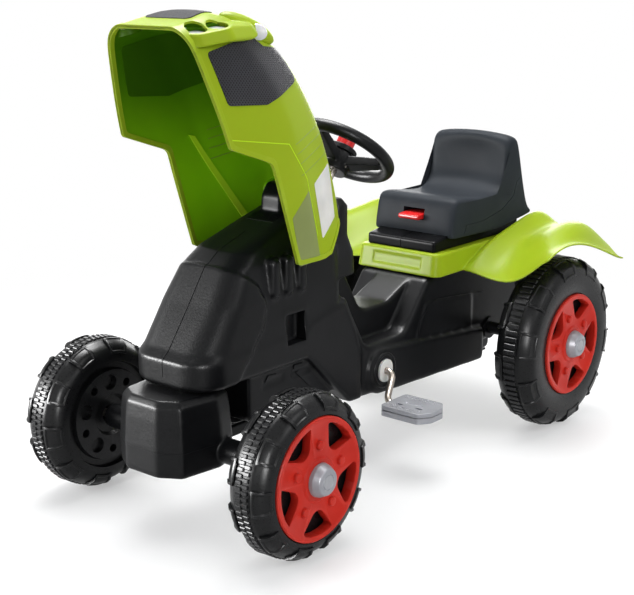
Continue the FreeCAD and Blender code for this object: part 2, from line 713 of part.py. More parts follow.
def drive_chain():
    links = []
    for i in range(CHAIN_LINKS):
        start = chain_point(i * CHAIN_PITCH)
        end = chain_point((i + 1) * CHAIN_PITCH)
        along = end - start
        link = chain_link(along.Length, i % 2 == 1)
        link.rotate(vec(0, 0, 0), vec(0, 1, 0), -math.degrees(math.atan2(along.z, along.x)))
        links.append(moved(link, start.x, CHAIN_Y, start.z + REAR_R))
    return Part.makeCompound(links)


def crank_rod():
    end_y = PEDAL_IN_Y + PEDAL_LENGTH - 6
    left = [vec(CRANK_X + PEDAL_DX, end_y, CRANK_Z + PEDAL_DZ), vec(CRANK_X + PEDAL_DX, CRANK_ARM_Y, CRANK_Z + PEDAL_DZ),
            vec(CRANK_X, CRANK_ARM_Y, CRANK_Z)]
    right = [vec(CRANK_X, -CRANK_ARM_Y, CRANK_Z), vec(CRANK_X - PEDAL_DX, -CRANK_ARM_Y, CRANK_Z - PEDAL_DZ),
             vec(CRANK_X - PEDAL_DX, -end_y, CRANK_Z - PEDAL_DZ)]
    return bent_rod(left + right, CRANK_ROD_R, CRANK_BEND)


PEDAL_DOTS = 10
PEDAL_DOT_STEP = 6.0
PEDAL_DOT_R = 1.5


def pedal_half(upper):
    y0, y1 = PEDAL_IN_Y, PEDAL_IN_Y + PEDAL_LENGTH
    x = PEDAL_DEPTH / 2
    outline = [(-x, y0, 6), (x, y0, 6), (x, y1 - 12, 10), (x - 18, y1, 14), (-x + 18, y1, 14), (-x, y1 - 12, 10)]
    split = 0.4
    thick = PEDAL_TOP if upper else PEDAL_LOW
    slab = plate(outline, split, thick)
    if upper:
        grip = [box(-2.5, 2.5, y0 + 22, y1 - 26, thick - 1.2, thick + 1)]
        for edge in (-x + 6, -x + 12, x - 12, x - 6):
            for i in range(PEDAL_DOTS):
                grip.append(upright(edge, y0 + 8 + i * PEDAL_DOT_STEP, thick - 2.2, thick + 1, PEDAL_DOT_R))
        for y in (y0 + 14, y1 - 30):
            grip.append(box(8, 13, y, y + 11, thick - 3, thick + 1))
        slab = slab.cut(grip)
    slab = slab.cut(cross_rod(0, 0, CRANK_ROD_R + RUN, y0 - 1, y1 - 5))
    return slab if upper else turned(slab, vec(0, 0, 0), vec(0, 1, 0), 180)


# Front axle

BLOCK_WALL = 5.0
BLOCK_PLAN = [
    (BLOCK_REAR_X, -BLOCK_HALF + 11, 12), (WHEELBASE + 8, -BLOCK_HALF, 20), (BLOCK_FRONT_X - 18, -BLOCK_HALF + 8, 8),
    (BLOCK_FRONT_X, -28, 16), (BLOCK_FRONT_X, 28, 16), (BLOCK_FRONT_X - 18, BLOCK_HALF - 8, 8),
    (WHEELBASE + 8, BLOCK_HALF, 20), (BLOCK_REAR_X, BLOCK_HALF - 11, 12)]
BLOCK_LEVELS = (
    (BLOCK_BOTTOM, 0.955), (BLOCK_BOTTOM + 5, 0.99), (BLOCK_BOTTOM + 38, 1.0), (BLOCK_BOTTOM + 74, 0.965),
    (BLOCK_TOP - 8, 0.93), (BLOCK_TOP, 0.83))


def block_form(inset):
    middle = (BLOCK_REAR_X + BLOCK_FRONT_X) / 2
    shrink = 1 - inset / (BLOCK_HALF - 10)
    wires = []
    for i, (z, share) in enumerate(BLOCK_LEVELS):
        z += inset if i == 0 else -inset if i == len(BLOCK_LEVELS) - 1 else 0
        k = share * shrink
        outline = [(middle + (x - middle) * k, y * k, r * k) for x, y, r in BLOCK_PLAN]
        wires.append(rounded_wire(outline, in_xy(z)))
    return Part.makeLoft(wires, True, True)


def axle_block():
    body = block_form(0).cut(block_form(BLOCK_WALL))
    drains = [upright(BLOCK_FRONT_X - 30, y, BLOCK_BOTTOM - 5, BLOCK_BOTTOM + BLOCK_WALL + 5, 6.0) for y in (-30, 30)]
    body = body.cut(drains[0].fuse(drains[1:]))
    body = body.fuse(upright(WHEELBASE, 0, BLOCK_BOTTOM, BLOCK_TOP, PIN_HEAD_R + 6))
    reach = FRONT_FACE_Y - FRONT_WIDTH - GAP
    arms = cross_rod(WHEELBASE, FRONT_R, ARM_R, -reach, reach)
    fork = plate([(BLOCK_REAR_X + 8, -FORK_HALF - 8, 0), (BLOCK_REAR_X + 8, FORK_HALF + 8, 0),
                  (BLOCK_REAR_X - 20, FORK_HALF, 10), (FORK_END_X, FORK_HALF, 6),
                  (FORK_END_X, -FORK_HALF, 6), (BLOCK_REAR_X - 20, -FORK_HALF, 10)], FORK_BOTTOM, FORK_TOP)
    whole = body.fuse([arms, fork])
    slot = plate([(FORK_END_X - 5, -FORK_SLOT_HALF, 0), (558, -FORK_SLOT_HALF, 8), (558, FORK_SLOT_HALF, 8),
                  (FORK_END_X - 5, FORK_SLOT_HALF, 0)], FORK_BOTTOM - 5, FORK_TOP + 5)
    pocket = upright(WHEELBASE, 0, BLOCK_BOTTOM - 5, PIN_HEAD_Z + PIN_HEAD_T + GAP, PIN_HEAD_R + 1.5)
    bore = upright(WHEELBASE, 0, BLOCK_BOTTOM, BLOCK_TOP + 5, PIN_R + RUN)
    axle = cross_rod(WHEELBASE, FRONT_R, AXLE_R + SEAT, -reach - 5, reach + 5)
    return whole.cut([slot, pocket, bore, axle]).removeSplitter()


def king_pin():
    head = upright(WHEELBASE, 0, PIN_HEAD_Z, PIN_HEAD_Z + PIN_HEAD_T, PIN_HEAD_R)
    shank = upright(WHEELBASE, 0, PIN_HEAD_Z, PIN_BOSS_TOP + 14, PIN_R)
    return joined([head, shank])


def king_pin_nut():
    corners = [(WHEELBASE + 12 * math.cos(a), 12 * math.sin(a), 0) for a in (i * math.pi / 3 for i in range(6))]
    return plate(corners, PIN_BOSS_TOP, PIN_BOSS_TOP + 10).cut(
        upright(WHEELBASE, 0, PIN_BOSS_TOP - 1, PIN_BOSS_TOP + 12, PIN_R + SEAT))


def thrust_washer():
    ring = upright(WHEELBASE, 0, BLOCK_TOP + GAP, LIP_Z, PIN_R + 14)
    return ring.cut(upright(WHEELBASE, 0, BLOCK_TOP, LIP_Z + 1, PIN_R + SEAT))


# Steering

def across(s, forward, side):
    # Point beside the column: s down the axis, forward and side across it.
    return on_column(s) + RIM_FORWARD * forward + vec(0, side, 0)


def steering_column():
    low = on_column(COLUMN_LENGTH)
    offset = low - RIM_FORWARD * COLUMN_OFFSET
    bar = bent_rod([on_column(HUB_DROP - 8), low, offset, offset + AXIS_DOWN * COLUMN_PIN_LENGTH],
                   COLUMN_R, COLUMN_BEND)
    return bar.cut(rod(across(HUB_DROP + 8, 0, -30), across(HUB_DROP + 8, 0, 30), WHEEL_PIN_R + SEAT))


HUB_TOP_S = 4.0
HUB_LENGTH = 30.0


def steering_wheel():
    rim = Part.makeTorus(RIM_R, RIM_TUBE_R, WHEEL_CENTRE, AXIS_UP)
    hub = rod(on_column(HUB_TOP_S + HUB_LENGTH), on_column(HUB_TOP_S), WHEEL_HUB_R)
    pieces = [rim, hub]
    for angle in SPOKE_ANGLES:
        out = RIM_FORWARD * math.cos(math.radians(angle)) + vec(0, math.sin(math.radians(angle)), 0)
        side = AXIS_UP.cross(out)
        root = on_column(HUB_DROP + 2) + out * 8
        tip = WHEEL_CENTRE + out * RIM_R
        root_wire = Part.makePolygon([root + side * a + AXIS_UP * b for a, b in
                                      ((-13, -9), (13, -9), (13, 7), (-13, 7), (-13, -9))])
        tip_wire = Part.makePolygon([tip + side * a + AXIS_UP * b for a, b in
                                     ((-9, -5), (9, -5), (9, 5), (-9, 5), (-9, -5))])
        pieces.append(Part.makeLoft([root_wire, tip_wire], True, True))
    wheel = pieces[0].fuse(pieces[1:])
    bore = rod(on_column(HUB_TOP_S - 1), on_column(HUB_TOP_S + HUB_LENGTH + 1), COLUMN_R + SEAT)
    pin = rod(across(HUB_DROP + 8, 0, -30), across(HUB_DROP + 8, 0, 30), WHEEL_PIN_R + SEAT)
    return wheel.cut([bore, pin]).removeSplitter()


WHEEL_PIN_R = 2.0
CUP_T = 3.0
CUP_DEPTH = 8.0


def wheel_pin():
    return rod(across(HUB_DROP + 8, 0, -WHEEL_HUB_R + 1), across(HUB_DROP + 8, 0, WHEEL_HUB_R - 1), WHEEL_PIN_R)


def horn_cup():
    # dish on the hub that guides the button
    outer = rod(on_column(HUB_TOP_S), on_column(HUB_TOP_S - CUP_DEPTH), CUP_R)
    inner = rod(on_column(HUB_TOP_S - CUP_T), on_column(HUB_TOP_S - CUP_DEPTH - 1), HORN_R + GAP)
    return outer.cut(inner)


def horn_button():
    base = HUB_TOP_S - CUP_T - HORN_TRAVEL - GAP
    return rod(on_column(base), on_column(base - HORN_HEIGHT), HORN_R)


def horn_spring():
    top = HUB_TOP_S - CUP_T - HORN_TRAVEL - GAP
    sleeve = rod(on_column(HUB_TOP_S - CUP_T), on_column(top), HORN_R - 4)
    return sleeve.cut(rod(on_column(HUB_TOP_S), on_column(top - 1), HORN_R - 6))


def column_bush():
    low = on_column(BOSS_TOP_S + BUSH_LENGTH - 4)
    flange = rod(on_column(BOSS_TOP_S), on_column(BOSS_TOP_S - BUSH_FLANGE_T), BOSS_R)
    sleeve = rod(low, on_column(BOSS_TOP_S - BUSH_FLANGE_T), BUSH_R)
    bore = rod(on_column(BOSS_TOP_S - 6), on_column(BOSS_TOP_S + BUSH_LENGTH), COLUMN_R + RUN)
    return joined([flange, sleeve]).cut(bore)


# Bonnet, in the closed position

BONNET = [
    # x, skirt half width, crease half width, roof half width, roof edge z, crown z
    (360, 103, 94, 69, 452, 462), (450, 103, 93, 63, 461, 470), (531, 102, 92, 62, 450, 459),
    (597, 97, 88, 60, 428, 437), (645, 88, 81, 58, 404, 412), (684, 80, 74, 55, 371, 378),
    (704, 75, 70, 51, 344, 350), (717, 65, 60, 44, 320, 325), (727, 50, 46, 34, 300, 304)]
CREASE_Z = 366.0
NOSE_CREASE = 0.55
SKIRT_LOW_Z = 205.0
BONNET_TRIM = [
    (760, 224, 0), (576, 238, 8), (533, 308, 16), (388, 322, 5), (371, 384, 4), (368, 406, 4),
    (391, 446, 4), (391, 520, 0), (760, 520, 0)]


def bonnet_section(x, skirt, crease, roof, edge_z, crown_z, inset):
    crease_z = min(CREASE_Z, SKIRT_LOW_Z + (edge_z - SKIRT_LOW_Z) * (NOSE_CREASE + 0.1))
    skirt, crease, roof = skirt - inset, crease - inset, roof - inset
    edge_z, crown_z = edge_z - inset, crown_z - inset
    low = SKIRT_LOW_Z - inset * 2
    left = [vec(x, skirt, low), vec(x, crease, crease_z), vec(x, roof, edge_z)]
    right = [vec(x, -p.y, p.z) for p in reversed(left)]
    edges = [Part.makeLine(left[0], left[1]), Part.makeLine(left[1], left[2]),
             Part.Arc(left[2], vec(x, 0, crown_z), right[0]).toShape(),
             Part.makeLine(right[0], right[1]), Part.makeLine(right[1], right[2]),
             Part.makeLine(right[2], left[0])]
    return Part.Wire(edges)


def bonnet_mass(inset):
    wires = []
    last = len(BONNET) - 1
    for i, row in enumerate(BONNET):
        x = row[0] - inset * 4 if i == 0 else row[0] - inset if i == last else row[0]
        wires.append(bonnet_section(x, *row[1:], inset))
    return Part.makeLoft(wires, True, True)


def opened(shape):
    return turned(shape, vec(HINGE_X, 0, HINGE_Z), vec(0, 1, 0), -OPEN_ANGLE)


def bonnet_shell():
    shell = bonnet_mass(0).cut(bonnet_mass(BONNET_WALL))
    shell = shell.common(prism(BONNET_TRIM, -150, 150))
    ear = prism([(HINGE_X - 15, HINGE_Z + 60, 0), (HINGE_X - 13, HINGE_Z - 12, 11),
                 (HINGE_X + 13, HINGE_Z - 12, 11), (HINGE_X + 15, HINGE_Z + 60, 0)],
                LUG_HALF + GAP, LUG_HALF + GAP + EAR_T)
    ears = ear.fuse(mirrored(ear)).common(bonnet_mass(BONNET_WALL / 2))
    shell = shell.fuse(ears)
    cuts = [box(350, NOTCH_X, -NOTCH_HALF, NOTCH_HALF, 400, 520),
            cross_rod(HINGE_X, HINGE_Z, HINGE_PIN_R + RUN, -60, 60)]
    for y, z in LAMPS:
        for side in (-1, 1):
            cuts.append(Part.makeCylinder(LAMP_R, 60, vec(690, side * y, z), vec(1, 0, 0)))
    return shell.cut(cuts[0].fuse(cuts[1:])).removeSplitter()


def bonnet_skin(depth, proud, outline):
    # Piece of a layer that follows the bonnet's outside, cut out by an outline.
    return bonnet_mass(-proud).cut(bonnet_mass(depth)).common(outline)


GRILLE_T = 1.2


def side_grille():
    outline = [(692, 246, 5), (690, 322, 5), (666, 364, 6), (612, 392, 6), (600, 338, 8), (620, 264, 8)]
    return bonnet_skin(0, GRILLE_T, prism(outline, 30, 140))


def nose_grille():
    outline = [(-40, 262, 6), (40, 262, 6), (30, 316, 8), (-30, 316, 8)]
    cutter = Part.Face(rounded_wire(outline, in_yz(690))).extrude(vec(60, 0, 0))
    return bonnet_skin(0, GRILLE_T, cutter)


def lamp_discs():
    discs = []
    for y, z in LAMPS:
        for side in (-1, 1):
            layer = bonnet_mass(BONNET_WALL).cut(bonnet_mass(BONNET_WALL + 2))
            discs.append(layer.common(Part.makeCylinder(LAMP_R + 3, 60, vec(690, side * y, z), vec(1, 0, 0))))
    return Part.makeCompound(discs)


def headlamp():
    outline = [(685, 338, 6), (704, 338, 6), (698, 366, 6), (672, 372, 5)]
    return bonnet_skin(0, 2.5, prism(outline, 40, 90))


def bonnet_pin():
    reach = LUG_HALF + GAP + EAR_T + 2
    shaft = cross_rod(HINGE_X, HINGE_Z, HINGE_PIN_R, -reach, reach)
    heads = [cross_rod(HINGE_X, HINGE_Z, HINGE_PIN_R + 2.5, reach, reach + 2)]
    heads.append(mirrored(heads[0]))
    return joined([shaft] + heads)


# Mudguard: deck with a skirt, and two wings over the rear wheels

WING_XS = (WING_FRONT_X, 62.0, 10.0, -45.0, -97.0, TAIL_X)
WING_RIBS = (
    (DECK_HALF + 1, (257, 272, 284, 286, 286, 278)),
    (95.0, (255, 278, 297, 311, 318, 293)),
    (120.0, (251, 268, 288, 300, 303, 284)),
    (165.0, (250, 276, 303, 317, 308, 284)),
    (205.0, (273, 296, 308, 308, 290, 268)),
    (230.0, (292, 304, 302, 287, 268, 254)))


def wing():
    grid = [[vec(x, y, z) for x, z in zip(WING_XS, heights)] for y, heights in WING_RIBS]
    surface = Part.BSplineSurface()
    surface.interpolate(grid)
    return surface.toShape().extrude(vec(0, 0, -WING_T))


def mudguard():
    outside = [(SKIRT_Z, DECK_REAR_X - 3, DECK_FRONT_X + 6, SKIRT_HALF, 14),
               (DECK_Z - 3, DECK_REAR_X, DECK_FRONT_X, DECK_HALF + 1, 12),
               (DECK_Z, DECK_REAR_X + 2, DECK_FRONT_X - 2, DECK_HALF - 1, 12)]
    inside = [(SKIRT_Z - 5, DECK_REAR_X, DECK_FRONT_X + 4, SKIRT_HALF - WALL, 12),
              (DECK_Z - WALL, DECK_REAR_X + WALL, DECK_FRONT_X - WALL, DECK_HALF + 1 - WALL, 10)]
    deck = block(outside)
    side_wing = wing()
    whole = deck.fuse([side_wing, mirrored(side_wing)]).cut(block(inside))
    holes = [upright(x, y, SKIRT_Z, DECK_Z + 5, SCREW_R + SEAT) for x, y in rail_screw_places()]
    recess = prism([(DECK_FRONT_X + 3, 262, 0), (DECK_FRONT_X - 0.4, 280, 0), (DECK_FRONT_X + 20, 280, 0),
                    (DECK_FRONT_X + 20, 262, 0)], -46, 46)
    return whole.cut(holes + [recess]).removeSplitter()


# Seat and rail: the seat slides along SLIDE, which tips down towards the front

SLIDE_TILT = math.radians(RAIL_TILT)


def rail_top(x):
    return RAIL_FRONT_Z + (RAIL_FRONT_X - x) * math.tan(SLIDE_TILT)


NOTCHES = 6
NOTCH_STEP = 10.0
NOTCH_WIDTH = 5.0
NOTCH_DEPTH = 3.0
TOOTH_X = 100.0


def seat_rail():
    outline = [(RAIL_REAR_X, DECK_Z, 0), (RAIL_FRONT_X, DECK_Z, 0), (RAIL_FRONT_X, RAIL_FRONT_Z, 4),
               (RAIL_REAR_X, rail_top(RAIL_REAR_X), 6)]
    rail = soft_prism(outline, RAIL_HALF, 3.0)
    hollow = prism([(RAIL_REAR_X, DECK_Z, 0), (RAIL_FRONT_X, DECK_Z, 0), (RAIL_FRONT_X, RAIL_FRONT_Z, 0),
                    (RAIL_REAR_X, rail_top(RAIL_REAR_X), 0)], -RAIL_HALF + 4, RAIL_HALF - 4, 4)
    hollow.translate(vec(0, 0, -5))
    cuts = [hollow]
    for i in range(NOTCHES):
        x = TOOTH_X + NOTCH_STEP * (i - 2)
        cuts.append(box(x - NOTCH_WIDTH / 2, x + NOTCH_WIDTH / 2, -LATCH_HALF, LATCH_HALF,
                        rail_top(x) - NOTCH_DEPTH, rail_top(x) + 10))
    for x, y in rail_screw_places():
        cuts.append(upright(x, y, DECK_Z - 5, DECK_Z + 80, SCREW_R + SEAT))
        cuts.append(upright(x, y, rail_top(x) - 5, DECK_Z + 80, SCREW_HEAD_R + 1.5))
    return rail.cut(cuts).removeSplitter()


def rail_screws():
    screws = []
    for x, y in rail_screw_places():
        seat = rail_top(x) - 5
        shank = upright(x, y, PILLAR_TOP - 15, seat + 0.5, SCREW_R)
        screws.append(joined([shank, upright(x, y, seat + SEAT, seat + 3, SCREW_HEAD_R)]))
    return Part.makeCompound(screws)


SEAT_SIDE = [
    (130, 311, 0), (116, 364, 16), (80, 358, 60), (30, 352, 50), (-14, 372, 40), (-34, 446, 13),
    (-56, 448, 13), (-84, 340, 24), (-106, 322, 0), (-104, 312, 0), (-50, 302, 30), (0, 299, 30), (60, 304, 30)]
SEAT_LIP_Z = 323.0
SLOT_Z = 330.0
SLOT_HEIGHT = 17.0
SKIRT_GAP = 1.0


def seat_shell():
    outside = soft_prism(SEAT_SIDE, SEAT_HALF, SEAT_EDGE, SEAT_LIP_Z)
    inside = prism(SEAT_SIDE, -SEAT_HALF + SEAT_WALL + 2, SEAT_HALF - SEAT_WALL - 2, SEAT_WALL)
    below = prism([(150, rail_top(150) + GAP, 0), (-120, rail_top(-120) + GAP, 0), (-120, 250, 0),
                   (150, 250, 0)], -RAIL_HALF - SKIRT_GAP, RAIL_HALF + SKIRT_GAP)
    shell = outside.cut([inside, below])
    slot = box(100, 150, -LATCH_HALF - 1, LATCH_HALF + 1, SLOT_Z, SLOT_Z + SLOT_HEIGHT)
    ribs = box(LATCH_X - 8, LATCH_X + 8, LATCH_HALF + 1.5, LATCH_HALF + 5.5, SLOT_Z - 8, 365)
    ribs = ribs.fuse(mirrored(ribs)).common(prism(SEAT_SIDE, -SEAT_HALF, SEAT_HALF, SEAT_WALL / 2))
    # sliders that carry the seat on the rail
    pads = []
    for y in (-RAIL_HALF + 4, RAIL_HALF - 12):
        pad = prism([(105, rail_top(105) + GAP, 0), (-70, rail_top(-70) + GAP, 0), (-70, 380, 0), (105, 380, 0)],
                    y, y + 8)
        pads.append(pad.common(prism(SEAT_SIDE, -SEAT_HALF, SEAT_HALF, SEAT_WALL / 2)))
    whole = shell.cut(slot).fuse([ribs] + pads)
    pin = cross_rod(LATCH_X, LATCH_Z, LATCH_PIN_R + SEAT, -LATCH_HALF - 10, LATCH_HALF + 10)
    return whole.cut(pin).removeSplitter()


LATCH_Z = SLOT_Z + LATCH_T / 2 + 1


def seat_latch():
    outline = [(LATCH_X - 7, LATCH_Z - LATCH_T / 2, 4), (146, LATCH_Z - LATCH_T / 2, 3),
               (146, LATCH_Z + LATCH_T / 2 - 2, 3), (124, LATCH_Z + LATCH_T / 2, 4),
               (LATCH_X - 7, LATCH_Z + LATCH_T / 2, 4)]
    lever = soft_prism(outline, LATCH_HALF, 1.5)
    tooth = box(TOOTH_X - 2, TOOTH_X + 2, -LATCH_HALF + 2, LATCH_HALF - 2,
                rail_top(TOOTH_X - 2) + GAP, LATCH_Z)
    return joined([lever, tooth]).cut(cross_rod(LATCH_X, LATCH_Z, LATCH_PIN_R + RUN, -40, 40))


def latch_pin():
    return cross_rod(LATCH_X, LATCH_Z, LATCH_PIN_R, -LATCH_HALF - 5.5, LATCH_HALF + 5.5)


# Assembly

parts["body_shell"] = body_shell()
parts["chain_cover"] = chain_cover()
parts["cover_screws"] = cover_screws()
parts["crank_bearing_left"] = crank_bearing()
parts["crank_bearing_right"] = mirrored(crank_bearing())
parts["axle_bush_left"] = axle_bush()
parts["axle_bush_right"] = mirrored(axle_bush())
parts["column_bush"] = column_bush()
parts["king_pin"] = king_pin()
parts["king_pin_nut"] = king_pin_nut()
parts["thrust_washer"] = thrust_washer()
parts["bonnet_pin"] = bonnet_pin()
parts["mudguard"] = mudguard()
parts["seat_rail"] = seat_rail()
parts["rail_screws"] = rail_screws()
parts["drive_chain"] = drive_chain()

parts["bonnet_shell"] = opened(bonnet_shell())
parts["nose_grille"] = opened(nose_grille())
parts["side_grille_left"] = opened(side_grille())
parts["side_grille_right"] = opened(mirrored(side_grille()))
parts["lamp_discs"] = opened(lamp_discs())
parts["headlamp_left"] = opened(headlamp())
parts["headlamp_right"] = opened(mirrored(headlamp()))

parts["steering_wheel"] = steering_wheel()
parts["steering_column"] = steering_column()
parts["wheel_pin"] = wheel_pin()
parts["horn_cup"] = horn_cup()
parts["horn_spring"] = horn_spring()
parts["horn_button"] = horn_button()

parts["axle_block"] = axle_block()
parts["front_axle_rod"] = moved(axle_rod(FRONT_FACE_Y), WHEELBASE, 0, FRONT_R)
parts["front_axle_clips"] = moved(axle_clips(FRONT_FACE_Y), WHEELBASE, 0, FRONT_R)
add_wheel("front", FRONT_R, FRONT_FACE_Y, FRONT_WIDTH, WHEELBASE, FRONT_PHASE)

parts["rear_axle_rod"] = moved(driven_axle(), 0, 0, REAR_R)
parts["drive_pin"] = moved(drive_pin(), 0, 0, REAR_R)
parts["rear_spacers"] = moved(rear_spacers(), 0, 0, REAR_R)
parts["rear_axle_clips"] = moved(axle_clips(REAR_FACE_Y), 0, 0, REAR_R)
parts["axle_sprocket"] = moved(sprocket(AXLE_TEETH, AXLE_PITCH_R, AXLE_R, 180.0), 0, 0, REAR_R)
add_wheel("rear", REAR_R, REAR_FACE_Y, REAR_WIDTH, 0, REAR_PHASE)
parts["rear_tyre_left"] = parts["rear_tyre_left"].cut(moved(pin_slot(), 0, 0, REAR_R))

parts["crank_rod"] = crank_rod()
parts["crank_sprocket"] = moved(sprocket(CRANK_TEETH, CRANK_PITCH_R, CRANK_ROD_R, 0.0), CRANK_X, 0, CRANK_Z)
for side, sign in (("left", 1), ("right", -1)):
    for layer in ("upper", "lower"):
        half_pedal = pedal_half(layer == "upper")
        if side == "right":
            half_pedal = mirrored(half_pedal)
        parts[f"pedal_{layer}_{side}"] = moved(half_pedal, CRANK_X + sign * PEDAL_DX, 0, CRANK_Z + sign * PEDAL_DZ)

parts["seat_shell"] = seat_shell()
parts["seat_latch"] = seat_latch()
parts["latch_pin"] = latch_pin()

os.makedirs("parts", exist_ok=True)
for name, shape in parts.items():
    shape = moved(shape, -ORIGIN_X, 0, 0)
    shape.exportStep(f"parts/{name}.step")
    print(name, len(shape.Solids), "solids", round(shape.Volume / 1000, 1), "cm3",
          "valid" if shape.isValid() else "INVALID")
print("nodes", len(parts), "crank x", round(CRANK_X, 2), "origin x", round(ORIGIN_X, 2))
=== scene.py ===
import json
import math

import bpy
from mathutils import Matrix, Vector


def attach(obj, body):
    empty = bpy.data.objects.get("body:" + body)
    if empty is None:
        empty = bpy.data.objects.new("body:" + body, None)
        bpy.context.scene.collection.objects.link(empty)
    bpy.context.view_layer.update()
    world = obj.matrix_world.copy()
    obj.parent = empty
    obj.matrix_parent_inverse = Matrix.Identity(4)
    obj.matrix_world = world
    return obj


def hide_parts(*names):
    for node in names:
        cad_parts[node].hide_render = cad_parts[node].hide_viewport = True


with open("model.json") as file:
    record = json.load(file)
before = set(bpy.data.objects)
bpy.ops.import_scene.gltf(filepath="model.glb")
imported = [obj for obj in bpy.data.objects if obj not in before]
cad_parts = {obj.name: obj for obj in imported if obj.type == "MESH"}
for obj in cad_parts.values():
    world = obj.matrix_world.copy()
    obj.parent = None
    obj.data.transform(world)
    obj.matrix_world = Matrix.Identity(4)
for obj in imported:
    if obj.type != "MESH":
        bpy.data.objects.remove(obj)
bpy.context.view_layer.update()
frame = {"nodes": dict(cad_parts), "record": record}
nodes = frame["nodes"]
slotOf = {row["node"]: row["material_slot"] for row in frame["record"]["subparts"]}
bodyOf = {node: body for body, names in frame["record"]["behaviour"]["bodies"].items() for node in names}
originX = 300.75  # mm from the rear axle to the frame's origin


def at(x, y, z):
    return Vector(((x - originX) / 1000, y / 1000, z / 1000))


def only(obj):
    bpy.ops.object.select_all(action="DESELECT")
    obj.select_set(True)
    bpy.context.view_layer.objects.active = obj


def startEdit(obj, everything=True):
    only(obj)
    bpy.ops.object.mode_set(mode="EDIT")
    bpy.ops.mesh.select_all(action="SELECT" if everything else "DESELECT")


def endEdit():
    bpy.ops.object.mode_set(mode="OBJECT")


def useModifier(obj, kind, **values):
    only(obj)
    mod = obj.modifiers.new(kind.lower(), kind)
    for key, value in values.items():
        setattr(mod, key, value)
    bpy.ops.object.modifier_apply(modifier=mod.name)


def subdivide(obj, levels):
    useModifier(obj, "SUBSURF", levels=levels, render_levels=levels)


def drawLine(name, points):
    bpy.ops.object.select_all(action="DESELECT")
    bpy.ops.mesh.primitive_plane_add(size=0.02, location=(0, 0, 0))
    obj = bpy.context.object
    obj.name = name
    startEdit(obj)
    bpy.ops.mesh.merge(type="CENTER")
    bpy.ops.transform.translate(value=points[0])
    for here, there in zip(points, points[1:]):
        bpy.ops.mesh.extrude_region_move(TRANSFORM_OT_translate={"value": there - here})
    endEdit()
    return obj


def outward(obj):
    startEdit(obj)
    bpy.ops.mesh.normals_make_consistent(inside=False)
    endEdit()


def rounded(corners, steps=5):
    # plane outline with each corner (a, b, r) turned into an arc
    points = []
    count = len(corners)
    for i, (a, b, r) in enumerate(corners):
        here = Vector((a, b))
        back = (Vector(corners[i - 1][:2]) - here).normalized()
        ahead = (Vector(corners[(i + 1) % count][:2]) - here).normalized()
        if r <= 0:
            points.append((a, b))
            continue
        half = back.angle(ahead) / 2
        middle = here + (back + ahead).normalized() * (r / math.sin(half))
        first = here + back * (r / math.tan(half)) - middle
        last = here + ahead * (r / math.tan(half)) - middle
        sweep = first.angle_signed(last)
        for k in range(steps + 1):
            spot = middle + Matrix.Rotation(-sweep * k / steps, 2) @ first
            points.append((spot.x, spot.y))
    return points


def slab(name, points, depth):
    obj = drawLine(name, points)
    startEdit(obj)
    bpy.ops.mesh.edge_face_add()
    bpy.ops.mesh.extrude_region_move(TRANSFORM_OT_translate={"value": depth})
    endEdit()
    outward(obj)
    return obj


def sideSlab(name, corners, y0, y1, steps=5):
    points = [at(x, y0, z) for x, z in rounded(corners, steps)]
    return slab(name, points, Vector((0, (y1 - y0) / 1000, 0)))


def frontSlab(name, corners, x0, x1, steps=5):
    points = [at(x0, y, z) for y, z in rounded(corners, steps)]
    return slab(name, points, Vector(((x1 - x0) / 1000, 0, 0)))


def block(name, low, high):
    bpy.ops.object.select_all(action="DESELECT")
    size = at(*high) - at(*low)
    bpy.ops.mesh.primitive_cube_add(size=1, location=(at(*high) + at(*low)) / 2, scale=size)
    obj = bpy.context.object
    obj.name = name
    settle(obj)
    return obj


def drum(name, start, end, r, sides=48):
    bpy.ops.object.select_all(action="DESELECT")
    line = end - start
    bpy.ops.mesh.primitive_cylinder_add(
        vertices=sides, radius=r / 1000, depth=line.length, location=(start + end) / 2,
        rotation=line.to_track_quat("Z", "Y").to_euler())
    obj = bpy.context.object
    obj.name = name
    settle(obj)
    return obj


def settle(obj):
    only(obj)
    bpy.ops.object.transform_apply(location=True, rotation=True, scale=True)


def turn(obj, angle, centre, axis="Y"):
    spin = Matrix.Rotation(angle, 4, axis)
    obj.matrix_world = Matrix.Translation(centre) @ spin @ Matrix.Translation(-centre)
    settle(obj)


def copyOf(obj, name):
    only(obj)
    bpy.ops.object.duplicate(linked=False)
    twin = bpy.context.object
    twin.name = name
    return twin


def joined(first, others):
    only(first)
    for obj in others:
        obj.select_set(True)
    bpy.ops.object.join()
    return first


def carve(obj, tools, operation="DIFFERENCE"):
    for tool in tools:
        useModifier(obj, "BOOLEAN", object=tool, operation=operation, solver="EXACT")
        bpy.data.objects.remove(tool)


def spunRing(name, points, centre, steps):
    obj = drawLine(name, points)
    startEdit(obj)
    bpy.ops.mesh.edge_face_add()
    bpy.ops.mesh.delete(type="ONLY_FACE")
    bpy.ops.mesh.select_all(action="SELECT")
    bpy.ops.mesh.spin(steps=steps, angle=2 * math.pi, center=centre, axis=(0, 1, 0))
    bpy.ops.mesh.select_all(action="SELECT")
    bpy.ops.mesh.remove_doubles(threshold=0.00002)
    bpy.ops.mesh.normals_make_consistent(inside=False)
    endEdit()
    return obj


def repeatRound(obj, count, centre):
    startEdit(obj)
    bpy.ops.mesh.spin(steps=count - 1, dupli=True, angle=2 * math.pi * (count - 1) / count,
                      center=centre, axis=(0, 1, 0))
    endEdit()


def mergedCopy(node, name):
    obj = copyOf(nodes[node], name)
    startEdit(obj)
    bpy.ops.mesh.remove_doubles(threshold=0.00001)
    endEdit()
    return obj


def shift(obj, value):
    startEdit(obj)
    bpy.ops.transform.translate(value=value)
    endEdit()


